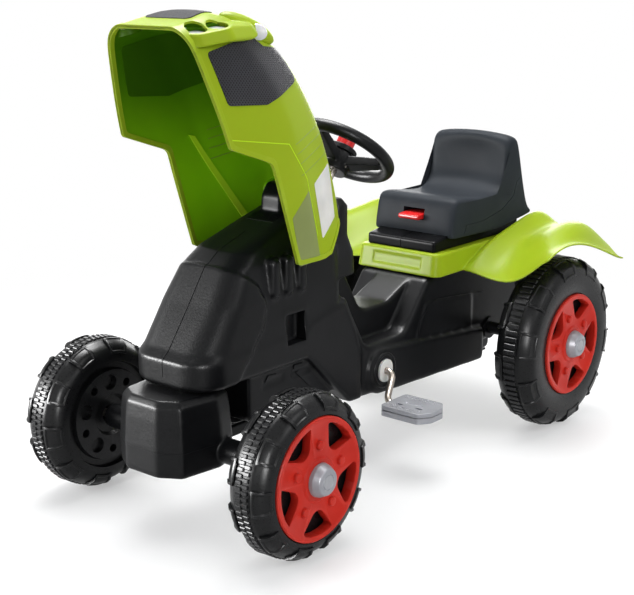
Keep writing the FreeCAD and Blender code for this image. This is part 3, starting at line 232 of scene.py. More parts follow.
def hoop(name, spot, r, thick, sides):
    bpy.ops.object.select_all(action="DESELECT")
    bpy.ops.mesh.primitive_torus_add(
        major_radius=r / 1000, minor_radius=thick / 1000, major_segments=64, minor_segments=sides,
        location=spot, rotation=(math.pi / 2, 0, 0))
    obj = bpy.context.object
    obj.name = name
    settle(obj)
    return obj


def softCopy(node, name, voxel, rounds, keep):
    obj = mergedCopy(node, name)
    soften(obj, voxel, rounds, keep)
    return obj


def soften(obj, voxel, rounds, keep):
    useModifier(obj, "REMESH", mode="VOXEL", voxel_size=voxel)
    useModifier(obj, "SMOOTH", factor=0.5, iterations=rounds)
    useModifier(obj, "DECIMATE", ratio=keep)


def finishPiece(obj, body, look, stands=(), angle=40, painted=False):
    only(obj)
    obj.parent = None
    obj.matrix_world = Matrix.Identity(4)
    bpy.ops.object.shade_smooth_by_angle(angle=math.radians(angle))
    if not painted:
        obj.data.materials.clear()
        obj.data.materials.append(looks[look])
    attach(obj, body)
    if stands:
        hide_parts(*stands)
    print("piece", obj.name, len(obj.data.polygons))


# materials

def makeLook(name, spec):
    mat = bpy.data.materials.new(name)
    mat.use_nodes = True
    tree = mat.node_tree
    shader = tree.nodes["Principled BSDF"]
    place = tree.nodes.new("ShaderNodeTexCoord")
    cloud = tree.nodes.new("ShaderNodeTexNoise")  # slow change of tone
    cloud.inputs["Scale"].default_value = spec["cloud"]
    cloud.inputs["Detail"].default_value = 4
    tree.links.new(place.outputs["Object"], cloud.inputs["Vector"])
    tone = tree.nodes.new("ShaderNodeMix")
    tone.data_type = "RGBA"
    tone.inputs[6].default_value = (*spec["dark"], 1)
    tone.inputs[7].default_value = (*spec["light"], 1)
    spread = tree.nodes.new("ShaderNodeMapRange")
    spread.inputs["From Min"].default_value = 0.3
    spread.inputs["From Max"].default_value = 0.7
    tree.links.new(cloud.outputs["Fac"], spread.inputs["Value"])
    tree.links.new(spread.outputs["Result"], tone.inputs[0])
    grain = tree.nodes.new("ShaderNodeTexNoise")  # moulded grain
    grain.inputs["Scale"].default_value = spec["grain"]
    grain.inputs["Detail"].default_value = 2
    tree.links.new(place.outputs["Object"], grain.inputs["Vector"])
    rough = tree.nodes.new("ShaderNodeMapRange")
    rough.inputs["From Min"].default_value = 0.3
    rough.inputs["From Max"].default_value = 0.7
    rough.inputs["To Min"].default_value = spec["rough"][0]
    rough.inputs["To Max"].default_value = spec["rough"][1]
    tree.links.new(grain.outputs["Fac"], rough.inputs["Value"])
    tree.links.new(rough.outputs["Result"], shader.inputs["Roughness"])
    bump = tree.nodes.new("ShaderNodeBump")
    bump.inputs["Strength"].default_value = spec["bump"]
    bump.inputs["Distance"].default_value = 0.0004
    tree.links.new(grain.outputs["Fac"], bump.inputs["Height"])
    tree.links.new(bump.outputs["Normal"], shader.inputs["Normal"])
    shape = tree.nodes.new("ShaderNodeNewGeometry")  # painted highlight: sharp edges lighter, found by pointiness
    painted_edge_highlight = tree.nodes.new("ShaderNodeMapRange")
    painted_edge_highlight.inputs["From Min"].default_value = 0.52
    painted_edge_highlight.inputs["From Max"].default_value = 0.62
    painted_edge_highlight.inputs["To Max"].default_value = spec["edge_highlight"]
    tree.links.new(shape.outputs["Pointiness"], painted_edge_highlight.inputs["Value"])
    edge = tree.nodes.new("ShaderNodeMix")
    edge.data_type = "RGBA"
    edge.inputs[7].default_value = (*spec["edge"], 1)
    tree.links.new(painted_edge_highlight.outputs["Result"], edge.inputs[0])
    tree.links.new(tone.outputs[2], edge.inputs[6])
    tree.links.new(edge.outputs[2], shader.inputs["Base Color"])
    if "painted_glow" in spec:  # painted light: lighter towards the bottom, as if light came through the thin wall
        split = tree.nodes.new("ShaderNodeSeparateXYZ")
        tree.links.new(place.outputs["Object"], split.inputs["Vector"])
        low = tree.nodes.new("ShaderNodeMapRange")
        low.interpolation_type = "SMOOTHSTEP"
        low.inputs["From Min"].default_value = 0.60
        low.inputs["From Max"].default_value = 0.40
        tree.links.new(split.outputs["Z"], low.inputs["Value"])
        lit = tree.nodes.new("ShaderNodeMix")
        lit.data_type = "RGBA"
        lit.inputs[7].default_value = (*spec["painted_glow"], 1)
        tree.links.new(low.outputs["Result"], lit.inputs[0])
        tree.links.new(edge.outputs[2], lit.inputs[6])
        tree.links.new(lit.outputs[2], shader.inputs["Base Color"])
    shader.inputs["Metallic"].default_value = spec.get("metal", 0)
    shader.inputs["Specular IOR Level"].default_value = spec.get("shine", 0.5)
    shader.inputs["Coat Weight"].default_value = spec.get("coat", 0)
    shader.inputs["Coat Roughness"].default_value = 0.25
    shader.inputs["Subsurface Weight"].default_value = spec.get("depth", 0)
    shader.inputs["Subsurface Scale"].default_value = 0.004
    return mat


# the edge colour and the amount beside it set the painted highlight on sharp edges
lookSpecs = {
    "black_plastic": {
        "dark": (0.0038, 0.0040, 0.0046), "light": (0.0062, 0.0065, 0.0074), "cloud": 14, "shine": 0.11,
        "rough": (0.29, 0.41), "grain": 460, "bump": 0.32, "edge_highlight": 0.5, "edge": (0.018, 0.018, 0.02)},
    "wheel_black": {
        "dark": (0.0040, 0.0042, 0.0046), "light": (0.0065, 0.0067, 0.0072), "cloud": 18, "shine": 0.15,
        "rough": (0.26, 0.36), "grain": 420, "bump": 0.08, "edge_highlight": 0.5, "edge": (0.02, 0.02, 0.022)},
    "green_plastic": {
        "dark": (0.295, 0.405, 0.012), "light": (0.325, 0.435, 0.016), "cloud": 6, "depth": 0.08,
        "shine": 0.05, "rough": (0.30, 0.38), "grain": 380, "bump": 0.06, "edge_highlight": 0.35,
        "edge": (0.50, 0.62, 0.08)},
    "grille_black": {
        "dark": (0.008, 0.008, 0.010), "light": (0.013, 0.013, 0.016), "cloud": 20, "shine": 0.03,
        "rough": (0.35, 0.5), "grain": 500, "bump": 0.1, "edge_highlight": 0.3, "edge": (0.06, 0.06, 0.07)},
    "seat_grey": {
        "dark": (0.026, 0.030, 0.036), "light": (0.034, 0.039, 0.046), "cloud": 16, "shine": 0.02,
        "rough": (0.42, 0.55), "grain": 700, "bump": 0.25, "edge_highlight": 0.4, "edge": (0.09, 0.10, 0.115)},
    "red_plastic": {
        "dark": (0.46, 0.018, 0.010), "light": (0.54, 0.026, 0.015), "cloud": 22, "depth": 0.05,
        "shine": 0.08, "rough": (0.30, 0.40), "grain": 480, "bump": 0.07, "edge_highlight": 0.3,
        "edge": (0.66, 0.08, 0.06)},
    "signal_red": {
        "dark": (0.64, 0.014, 0.014), "light": (0.74, 0.02, 0.02), "cloud": 30, "depth": 0.05, "shine": 0.2,
        "rough": (0.22, 0.30), "grain": 500, "bump": 0.05, "edge_highlight": 0.3, "edge": (0.8, 0.1, 0.08)},
    "silver_plastic": {
        "dark": (0.25, 0.255, 0.28), "light": (0.31, 0.315, 0.34), "cloud": 40, "metal": 0.25,
        "rough": (0.36, 0.46), "grain": 900, "bump": 0.08, "edge_highlight": 0.4, "edge": (0.5, 0.5, 0.5)},
    "white_plastic": {
        "dark": (0.62, 0.61, 0.58), "light": (0.74, 0.73, 0.70), "cloud": 30, "depth": 0.1,
        "rough": (0.35, 0.45), "grain": 500, "bump": 0.05, "edge_highlight": 0.3, "edge": (0.85, 0.85, 0.83)},
    "lens_white": {
        "dark": (0.66, 0.66, 0.70), "light": (0.78, 0.78, 0.80), "cloud": 40, "depth": 0.15,
        "rough": (0.12, 0.18), "grain": 300, "bump": 0.03, "edge_highlight": 0.2, "edge": (0.9, 0.9, 0.9)},
    "steel": {
        "dark": (0.24, 0.21, 0.18), "light": (0.38, 0.34, 0.30), "cloud": 60, "metal": 1.0,
        "rough": (0.28, 0.42), "grain": 800, "bump": 0.06, "edge_highlight": 0.3, "edge": (0.75, 0.72, 0.68)},
}
trimSpecs = {
    # darker copy of the green: painted shade inside the bonnet, lightened towards the bottom by a painted
    # glow
    "green_inside_shaded": {
        "dark": (0.048, 0.150, 0.001), "light": (0.058, 0.175, 0.002), "cloud": 6, "shine": 0.04,
        "rough": (0.42, 0.5), "grain": 380, "bump": 0.06, "edge_highlight": 0.3, "edge": (0.2, 0.34, 0.02),
        "painted_glow": (0.30, 0.66, 0.006)},
    "shaded_black": {
        "dark": (0.0038, 0.0040, 0.0046), "light": (0.0062, 0.0065, 0.0074), "cloud": 14, "shine": 0.035,
        "rough": (0.26, 0.34), "grain": 620, "bump": 0.12, "edge_highlight": 0.5, "edge": (0.018, 0.018, 0.02)},
    "green_lit": {
        "dark": (0.50, 0.74, 0.02), "light": (0.56, 0.82, 0.03), "cloud": 6, "shine": 0.04,
        "rough": (0.42, 0.5), "grain": 380, "bump": 0.06, "edge_highlight": 0.1, "edge": (0.6, 0.85, 0.05)},
    # darker green: painted shade on the grille's back inside the bonnet
    "green_back_shaded": {
        "dark": (0.030, 0.095, 0.001), "light": (0.036, 0.110, 0.002), "cloud": 6, "shine": 0.04,
        "rough": (0.42, 0.5), "grain": 380, "bump": 0.06, "edge_highlight": 0.1, "edge": (0.1, 0.2, 0.01)},
    # darker green for narrow lines on the bonnet: painted shade
    "green_shade_line": {
        "dark": (0.19, 0.28, 0.01), "light": (0.22, 0.32, 0.014), "cloud": 6,
        "rough": (0.4, 0.5), "grain": 380, "bump": 0.06, "edge_highlight": 0.1, "edge": (0.25, 0.35, 0.02)},
    "olive_panel": {
        "dark": (0.17, 0.21, 0.035), "light": (0.21, 0.26, 0.05), "cloud": 12,
        "rough": (0.3, 0.36), "grain": 600, "bump": 0.03, "edge_highlight": 0.1, "edge": (0.3, 0.36, 0.1)},
    "grille_mesh": {
        "dark": (0.028, 0.028, 0.034), "light": (0.042, 0.042, 0.05), "cloud": 20, "shine": 0.15,
        "rough": (0.28, 0.38), "grain": 500, "bump": 0.05, "edge_highlight": 0.1, "edge": (0.1, 0.1, 0.11)},
}
looks = {name: makeLook(name, spec) for name, spec in (lookSpecs | trimSpecs).items()}


def addMesh(mat, pitch, tilt):
    # rows of round holes, staggered
    tree = mat.node_tree
    shader = tree.nodes["Principled BSDF"]
    place = tree.nodes.new("ShaderNodeTexCoord")
    split = tree.nodes.new("ShaderNodeSeparateXYZ")
    flat = tree.nodes.new("ShaderNodeCombineXYZ")
    tree.links.new(place.outputs["Object"], split.inputs["Vector"])
    tree.links.new(split.outputs["X"], flat.inputs["X"])
    tree.links.new(split.outputs["Z"], flat.inputs["Y"])
    lay = tree.nodes.new("ShaderNodeMapping")
    lay.inputs["Rotation"].default_value = (0, 0, tilt)
    lay.inputs["Scale"].default_value = (1 / pitch, 1 / pitch, 1)
    tree.links.new(flat.outputs["Vector"], lay.inputs["Vector"])
    cells = tree.nodes.new("ShaderNodeTexVoronoi")
    cells.voronoi_dimensions = "2D"
    cells.inputs["Scale"].default_value = 1
    cells.inputs["Randomness"].default_value = 0
    tree.links.new(lay.outputs["Vector"], cells.inputs["Vector"])
    hole = tree.nodes.new("ShaderNodeMapRange")
    hole.inputs["From Min"].default_value = 0.30
    hole.inputs["From Max"].default_value = 0.40
    tree.links.new(cells.outputs["Distance"], hole.inputs["Value"])
    shade = tree.nodes.new("ShaderNodeMix")
    shade.data_type = "RGBA"
    shade.inputs[6].default_value = (0.002, 0.002, 0.003, 1)
    before = shader.inputs["Base Color"].links[0].from_socket
    tree.links.new(before, shade.inputs[7])
    tree.links.new(hole.outputs["Result"], shade.inputs[0])
    tree.links.new(shade.outputs[2], shader.inputs["Base Color"])
    dent = tree.nodes.new("ShaderNodeBump")
    dent.inputs["Strength"].default_value = 0.8
    dent.inputs["Distance"].default_value = 0.001
    tree.links.new(hole.outputs["Result"], dent.inputs["Height"])
    tree.links.new(shader.inputs["Normal"].links[0].from_socket, dent.inputs["Normal"])
    tree.links.new(dent.outputs["Normal"], shader.inputs["Normal"])


addMesh(looks["grille_mesh"], 0.0036, math.radians(40))
shownBlack = ("axle_bush", "rear_spacers")
for node, obj in nodes.items():
    obj.data.materials.clear()
    obj.data.materials.append(looks["black_plastic" if node.startswith(shownBlack) else slotOf[node]])
print("materials", len(looks))

# black body: the moulded shell with its openings closed a little way in

bodySpec = {"voxel": 0.0027, "rounds": 5, "keep": 0.5}
bodyPlugs = (
    ("box", (-93, -62.5, 268), (164, 62.5, 283.5)), ("box", (466, -50.5, 123.5), (548, 50.5, 138)),
    ("drum", (298.4, -70.5, 136), (298.4, 70.5, 136), 13), ("drum", (0, -62.5, 136), (0, 62.5, 136), 15),
    ("drum", (632, 0, 195), (632, 0, 236), 13), ("drum", (355, 0, 401), (395, 0, 350), 12.5))
bodySkin = mergedCopy("body_shell", "body_skin")
plugs = []
for plug in bodyPlugs:
    if plug[0] == "box":
        plugs.append(block("plug", plug[1], plug[2]))
    else:
        plugs.append(drum("plug", at(*plug[1]), at(*plug[2]), plug[3]))
plugs.append(sideSlab("plug", ((-43, 88, 0), (327, 103.6, 0), (327, 132, 0), (-43, 132, 0)), -34.6, 34.6))
vent = block("plug", (466, -63.8, 215), (514, 63.8, 267))
carve(vent, [block("pocket", (472, y, 221.5), (508, y + 32, 260.5)) for y in (48, -80)])
joined(bodySkin, plugs + [vent])
soften(bodySkin, bodySpec["voxel"], bodySpec["rounds"], bodySpec["keep"])
frontSeam = copyOf(bodySkin, "front_seam")
panelLine = ((206, 166), (200, 190), (181, 210), (157, 215), (22, 201))
sideBars = (
    ((541, 172, 2), (536, 182, 2), (515, 180, 2), (519, 170, 2)),
    ((483, 178, 1), (482, 184, 2), (463, 183, 2), (461, 176, 2)),
    ((477, 172, 1), (470, 173, 1), (443, 148, 2), (450, 147, 2)))
panelEdges = []
for side, word in ((1, "left"), (-1, "right")):
    strip = [(x, z, 0) for x, z in panelLine] + [(x - 0.6, z - 2.2, 0) for x, z in reversed(panelLine)]
    edge = copyOf(bodySkin, "panel_edge_" + word)
    bars = copyOf(bodySkin, "side_bars_" + word)
    carve(edge, [sideSlab("tool", strip, side * 50, side * 90)], "INTERSECT")
    tools = [sideSlab("tool", bar, side * 50, side * 90) for bar in sideBars]
    carve(bars, [joined(tools[0], tools[1:])], "INTERSECT")
    shift(edge, (0, side * 0.0009, 0.0003))
    shift(bars, (0, side * 0.0014, 0.0003))
    panelEdges += [edge, bars]
# sheet over the hinge lug's front face with less shine: painted shade where the bonnet shades it
hingeShade = copyOf(bodySkin, "hinge_shade")
carve(hingeShade, [block("tool", (430, -24, 380), (490, 24, 440))], "INTERSECT")
shift(hingeShade, (0.0007, 0, 0))
ventCuts = [block("vent", (471, y, 220), (509, y + 40, 262)) for y in (50, -90)]
carve(bodySkin, [joined(ventCuts[0], ventCuts[1:])])
finishPiece(bodySkin, "chassis", "black_plastic", ["body_shell"], 60)
carve(frontSeam, [block("tool", (520, -0.6, 205), (760, 0.6, 420))], "INTERSECT")
shift(frontSeam, (0.0005, 0, 0.0004))
for piece in [frontSeam] + panelEdges:
    finishPiece(piece, "chassis", "black_plastic", (), 60)
finishPiece(hingeShade, "chassis", "shaded_black", (), 60)

# wheels: tyre with shoulder lugs and a centre band

wheelSpecs = (
    {"name": "front_tread_left", "node": "front_tyre_left", "x": 632, "r": 107.5, "face": 223, "wide": 70,
     "side": 1, "phase": 20, "band": 13, "rows": ((-5.2, 0), (5.2, 0.5)), "blocks": 84, "blockWide": 9.2,
     "lugEnd": 20},
    {"name": "front_tread_right", "node": "front_tyre_right", "x": 632, "r": 107.5, "face": 223, "wide": 70,
     "side": -1, "phase": 6, "band": 13, "rows": ((-5.2, 0), (5.2, 0.5)), "blocks": 84, "blockWide": 9.2,
     "lugEnd": 20},
    {"name": "rear_tread_left", "node": "rear_tyre_left", "x": 0, "r": 136, "face": 220, "wide": 72,
     "side": 1, "phase": 8, "band": 12, "rows": ((0, 0),), "blocks": 84, "blockWide": 20, "lugEnd": 25},
    {"name": "rear_tread_right", "node": "rear_tyre_right", "x": 0, "r": 136, "face": 220, "wide": 72,
     "side": -1, "phase": 24, "band": 12, "rows": ((0, 0),), "blocks": 84, "blockWide": 20, "lugEnd": 25},
)
lugCount = 10


def wheelSpot(spec, r, depth, angle=0.0):
    y = spec["side"] * (spec["face"] - depth)
    return at(spec["x"] + r * math.sin(angle), y, spec["r"] + r * math.cos(angle))


def carcass(spec):
    r, w, band = spec["r"], spec["wide"], spec["band"]
    profile = [
        (12, 18), (80.6, 18), (80.6, 4), (83, 2.8), (r - 26, 2.4), (r - 19, 3.6), (r - 12, 8), (r - 8, 14),
        (r - 5, 19), (r - 3.2, w / 2 - band), (r - 3, w / 2), (r - 3.2, w / 2 + band), (r - 5, w - 19),
        (r - 8, w - 14), (r - 12, w - 8), (r - 19, w - 3.6), (r - 26, w - 2.4), (76, w - 2), (74, w - 9),
        (66, w - 9), (64, w - 2), (30, w - 1.5), (26, w - 7), (12, w - 7)]
    ring = spunRing(spec["name"], [wheelSpot(spec, a, d) for a, d in profile], wheelSpot(spec, 0, 0), 120)
    pockets = []
    for i in range(5):
        turnBy = i * 2 * math.pi / 5
        lens = drum("pocket", wheelSpot(spec, 47, w - 8, turnBy), wheelSpot(spec, 47, w + 5, turnBy), 11, 32)
        hole = drum("pocket", wheelSpot(spec, 50, w - 14, turnBy + math.pi / 5),
                    wheelSpot(spec, 50, w + 5, turnBy + math.pi / 5), 6, 24)
        pockets += [lens, hole]
    carve(ring, [joined(pockets[0], pockets[1:])])
    return ring


def shoulderLugs(spec, inner):
    r, w = spec["r"], spec["wide"]
    middle = w / 2 - spec["band"] - 1.5
    end = r - spec["lugEnd"]
    profile = [(r - 1.0, middle), (r - 1.4, middle - 4), (r - 4.2, 10), (r - 10, 4), (end, 1.4)]
    half = math.radians(11.5)
    points = [wheelSpot(spec, a, w - d if inner else d, -half) for a, d in profile]
    lug = drawLine("lug", points)
    centre = wheelSpot(spec, 0, 0)
    startEdit(lug)
    bpy.ops.mesh.spin(steps=6, angle=2 * half, center=centre, axis=(0, 1, 0))
    bpy.ops.mesh.select_all(action="SELECT")
    bpy.ops.mesh.remove_doubles(threshold=0.00002)
    endEdit()
    lean = sum(v.co.x for v in lug.data.vertices) / len(lug.data.vertices) - centre.x
    if abs(lean) > 0.001:
        back = math.copysign(2 * half, -lean) if abs(lean) > 0.02 else -math.asin(lean / (r / 1000))
        turn(lug, back, centre)
    for vert in lug.data.vertices:
        vert.select = (vert.co - centre).xz.length < (r - 7) / 1000
    only(lug)
    bpy.ops.object.mode_set(mode="EDIT")
    bpy.ops.transform.resize(value=(0.80, 1, 1), center_override=wheelSpot(spec, r, 0))
    bpy.ops.mesh.select_all(action="SELECT")
    bpy.ops.mesh.normals_make_consistent(inside=False)
    endEdit()
    face = lug.data.polygons[0]
    if face.normal.dot(face.center - wheelSpot(spec, r - 40, w / 2)) < 0:
        startEdit(lug)
        bpy.ops.mesh.flip_normals()
        endEdit()
    startEdit(lug)
    bpy.ops.mesh.inset(thickness=0.0032, depth=0, use_boundary=True)
    bpy.ops.mesh.inset(thickness=0.0012, depth=-0.0017, use_boundary=True)
    endEdit()
    useModifier(lug, "SOLIDIFY", thickness=0.006, offset=-1)
    useModifier(lug, "BEVEL", width=0.0014, segments=3, limit_method="ANGLE", angle_limit=math.radians(40))
    turn(lug, math.radians(spec["phase"] + (18 if inner else 0)), centre)
    repeatRound(lug, lugCount, centre)
    return lug


def bandBlocks(spec):
    rows = []
    centre = wheelSpot(spec, 0, 0)
    pitch = 2 * math.pi / spec["blocks"]
    long = 2 * math.pi * spec["r"] / spec["blocks"] * 0.66
    for offset, stagger in spec["rows"]:
        bpy.ops.object.select_all(action="DESELECT")
        spot = wheelSpot(spec, spec["r"] - 3.0, spec["wide"] / 2 + offset)
        bpy.ops.mesh.primitive_cube_add(size=1, location=spot,
                                        scale=(long / 1000, spec["blockWide"] / 1000, 0.0046))
        tile = bpy.context.object
        settle(tile)
        startEdit(tile)
        bpy.ops.mesh.bevel(offset=0.0009, segments=1, affect="EDGES")
        endEdit()
        turn(tile, stagger * pitch, centre)
        repeatRound(tile, spec["blocks"], centre)
        rows.append(tile)
    return rows


for spec in wheelSpecs:
    tyre = carcass(spec)
    extras = [shoulderLugs(spec, False), shoulderLugs(spec, True)] + bandBlocks(spec)
    joined(tyre, extras)
    finishPiece(tyre, bodyOf[spec["node"]], "wheel_black", [spec["node"]], 35)
print("tyres")

# red discs with five deep windows and a boss on each spoke

discSpec = {
    "profile": ((9, 1), (27, 1), (29.5, 3.2), (69.5, 3), (73, 0.2), (78.6, 0.2), (79.8, 1.4), (79.8, 15),
                (9, 15)),
    "window": ((-28.2, 66.6, 3), (-14.5, 70.9, 0), (0, 72.3, 0), (14.5, 70.9, 0), (28.2, 66.6, 3),
               (0, 32.5, 14)),
    "boss": 44, "front": 34, "rear": 51.8}
for spec in wheelSpecs:
    place, _, word = spec["node"].split("_")
    node = place + "_disc_" + word
    centre = wheelSpot(spec, 0, 0)
    disc = spunRing(node + "_skin", [wheelSpot(spec, a, d) for a, d in discSpec["profile"]], centre, 120)
    through = Vector((0, -spec["side"] * 0.022, 0))
    outline = [wheelSpot(spec, z, -3) + Vector((x / 1000, 0, 0)) for x, z in rounded(discSpec["window"], 6)]
    window = slab("window", outline, through)
    turn(window, math.radians(discSpec[place]), centre)
    repeatRound(window, 5, centre)
    carve(disc, [window])
    useModifier(disc, "BEVEL", width=0.0007, segments=2, limit_method="ANGLE", angle_limit=math.radians(50))
    bpy.ops.object.select_all(action="DESELECT")
    low, high = wheelSpot(spec, discSpec["boss"], 4), wheelSpot(spec, discSpec["boss"], -1)
    bpy.ops.mesh.primitive_cone_add(
        vertices=32, radius1=0.0064, radius2=0.0054, depth=(high - low).length, location=(low + high) / 2,
        rotation=(high - low).to_track_quat("Z", "Y").to_euler())
    boss = bpy.context.object
    settle(boss)
    useModifier(boss, "BEVEL", width=0.0012, segments=3, limit_method="ANGLE", angle_limit=math.radians(50))
    turn(boss, math.radians(discSpec[place] + 36), centre)
    repeatRound(boss, 5, centre)
    joined(disc, [boss])
    finishPiece(disc, bodyOf[node], "red_plastic", [node], 40)
print("discs")

# bonnet, drawn closed and then tipped open

hinge = at(445, 0, 415)
openAngle = math.radians(-77)
bonnetSpec = {"wall": 0.003, "low": 205, "crease": 366}
bonnetRows = (
    (352, 103, 94, 69, 451, 461), (405, 103, 94, 66, 458, 467), (450, 103, 93, 63, 461, 470),
    (531, 102, 92, 62, 450, 459), (597, 97, 88, 60, 428, 437), (645, 88, 81, 58, 404, 412),
    (684, 80, 74, 55, 371, 378), (704, 75, 70, 51, 344, 350), (718, 66, 61, 45, 319, 324),
    (727, 51, 47, 35, 299, 303))
bonnetTrim = (
    (760, 224, 0), (576, 238, 8), (533, 308, 16), (388, 322, 5), (371, 384, 4), (368, 406, 4),
    (391, 446, 4), (391, 520, 0), (760, 520, 0))
rimTrim = (  # the same edge, the width of the bead further in
    (770, 230, 0), (580, 244, 8), (537.5, 314, 16), (393, 327.5, 5), (377, 385, 4), (374, 405, 4),
    (397, 444.5, 4), (397, 530, 0), (770, 530, 0))


def bonnetLine(x, skirt, crease, roof, edge, crown):
    low = bonnetSpec["low"]
    bend = min(bonnetSpec["crease"], low + (edge - low) * 0.65)
    half = [(skirt, low), (skirt + (crease - skirt) * 0.5, low + (bend - low) * 0.5)]
    down = (bend - low)
    half += [(crease + (skirt - crease) * 7 / down, bend - 7)]
    rise = Vector((roof - crease, edge - bend))
    step = rise.normalized()
    half += [(crease + step.x * 7, bend + step.y * 7), (crease + rise.x * 0.5, bend + rise.y * 0.5)]
    half += [(roof - step.x * 9, edge - step.y * 9), (roof - 9, edge + (crown - edge) * 0.22)]
    half += [(roof * 0.45, edge + (crown - edge) * 0.8), (0, crown)]
    line = half + [(-y, z) for y, z in reversed(half[:-1])]
    return [at(x, y, z) for y, z in line]


lines = [drawLine("line", bonnetLine(*row)) for row in bonnetRows]
bonnet = joined(lines[0], lines[1:])
bonnet.name = "bonnet_skin"
startEdit(bonnet)
bpy.ops.mesh.bridge_edge_loops(type="SINGLE")
bpy.ops.mesh.select_all(action="DESELECT")
endEdit()
noseX = at(727, 0, 0).x
for edge in bonnet.data.edges:
    edge.select = all(abs(bonnet.data.vertices[i].co.x - noseX) < 1e-5 for i in edge.vertices)
only(bonnet)
bpy.ops.object.mode_set(mode="EDIT")
bpy.ops.mesh.edge_face_add()
bpy.ops.mesh.inset(thickness=0.007, depth=0)
bpy.ops.mesh.select_all(action="SELECT")
bpy.ops.mesh.normals_make_consistent(inside=False)
endEdit()
top = max(bonnet.data.polygons, key=lambda face: face.center.z)
if top.normal.z < 0:
    startEdit(bonnet)
    bpy.ops.mesh.flip_normals()
    endEdit()
subdivide(bonnet, 3)
bonnetFull = copyOf(bonnet, "bonnet_full")
startEdit(bonnetFull, False)
bpy.ops.mesh.select_mode(type="EDGE")
bpy.ops.mesh.select_non_manifold()
bpy.ops.mesh.edge_face_add()
bpy.ops.mesh.select_mode(type="VERT")
endEdit()
bonnetRim = copyOf(bonnet, "bonnet_rim")
for obj in (bonnet, bonnetRim):
    obj.data.materials.append(looks["green_plastic"])
    obj.data.materials.append(looks["green_inside_shaded"])
useModifier(bonnet, "SOLIDIFY", thickness=bonnetSpec["wall"], offset=-1, use_even_offset=True,
            material_offset=1)
useModifier(bonnetRim, "SOLIDIFY", thickness=0.0050, offset=-0.6, use_even_offset=True)
carve(bonnetRim, [sideSlab("trim", bonnetTrim, -150, 150)], "INTERSECT")
carve(bonnetRim, [sideSlab("trim", rimTrim, -150, 150)])
bonnetShell = copyOf(bonnet, "bonnet_layer")
carve(bonnet, [sideSlab("trim", bonnetTrim, -150, 150)], "INTERSECT")
carve(bonnet, [block("notch", (350, -32, 400), (433, 32, 520))])
earOutline = ((430, 466, 0), (432, 403, 11), (458, 403, 11), (460, 466, 0))
ears = []
for side in (-1, 1):
    ear = sideSlab("ear", earOutline, side * 18.4, side * 22.4)
    carve(ear, [drum("bore", at(445, -60, 415), at(445, 60, 415), 4.1, 32)])
    ear.data.materials.append(looks["green_inside_shaded"])
    ears.append(ear)

# lamp housings, set out on the open bonnet: two round recesses and a headlamp bulge on each side

podSpec = {"spots": ((664.5, 58.5, 644), (634.7, 65, 648.2)), "tilt": (0.173, 0.169, 0.970), "top": 18,
           "foot": 27, "hole": 14, "deep": 14, "recess": 8}
bulgeSpec = {"spot": (562, 46, 641), "along": (-0.90, 0.20, -0.385), "out": (-0.30, 0.45, 0.84),
             "size": (44, 18, 14), "lensSpot": (560, 62.5, 637.2), "lensWay": (0.55, 0.78, 0.30),
             "lens": (12.5, 10.5, 4)}
pods = []
tubes = []
lenses = []


def ball(name, spot, axes, size):
    bpy.ops.object.select_all(action="DESELECT")
    turned = Matrix(axes).transposed().to_euler()
    bpy.ops.mesh.primitive_uv_sphere_add(segments=64, ring_count=32, radius=0.001, location=spot,
                                         rotation=turned, scale=size)
    obj = bpy.context.object
    obj.name = name
    settle(obj)
    return obj


def threeAxes(along, out):
    first = Vector(along).normalized()
    third = Vector(out)
    third = (third - first * third.dot(first)).normalized()
    return first, third.cross(first), third


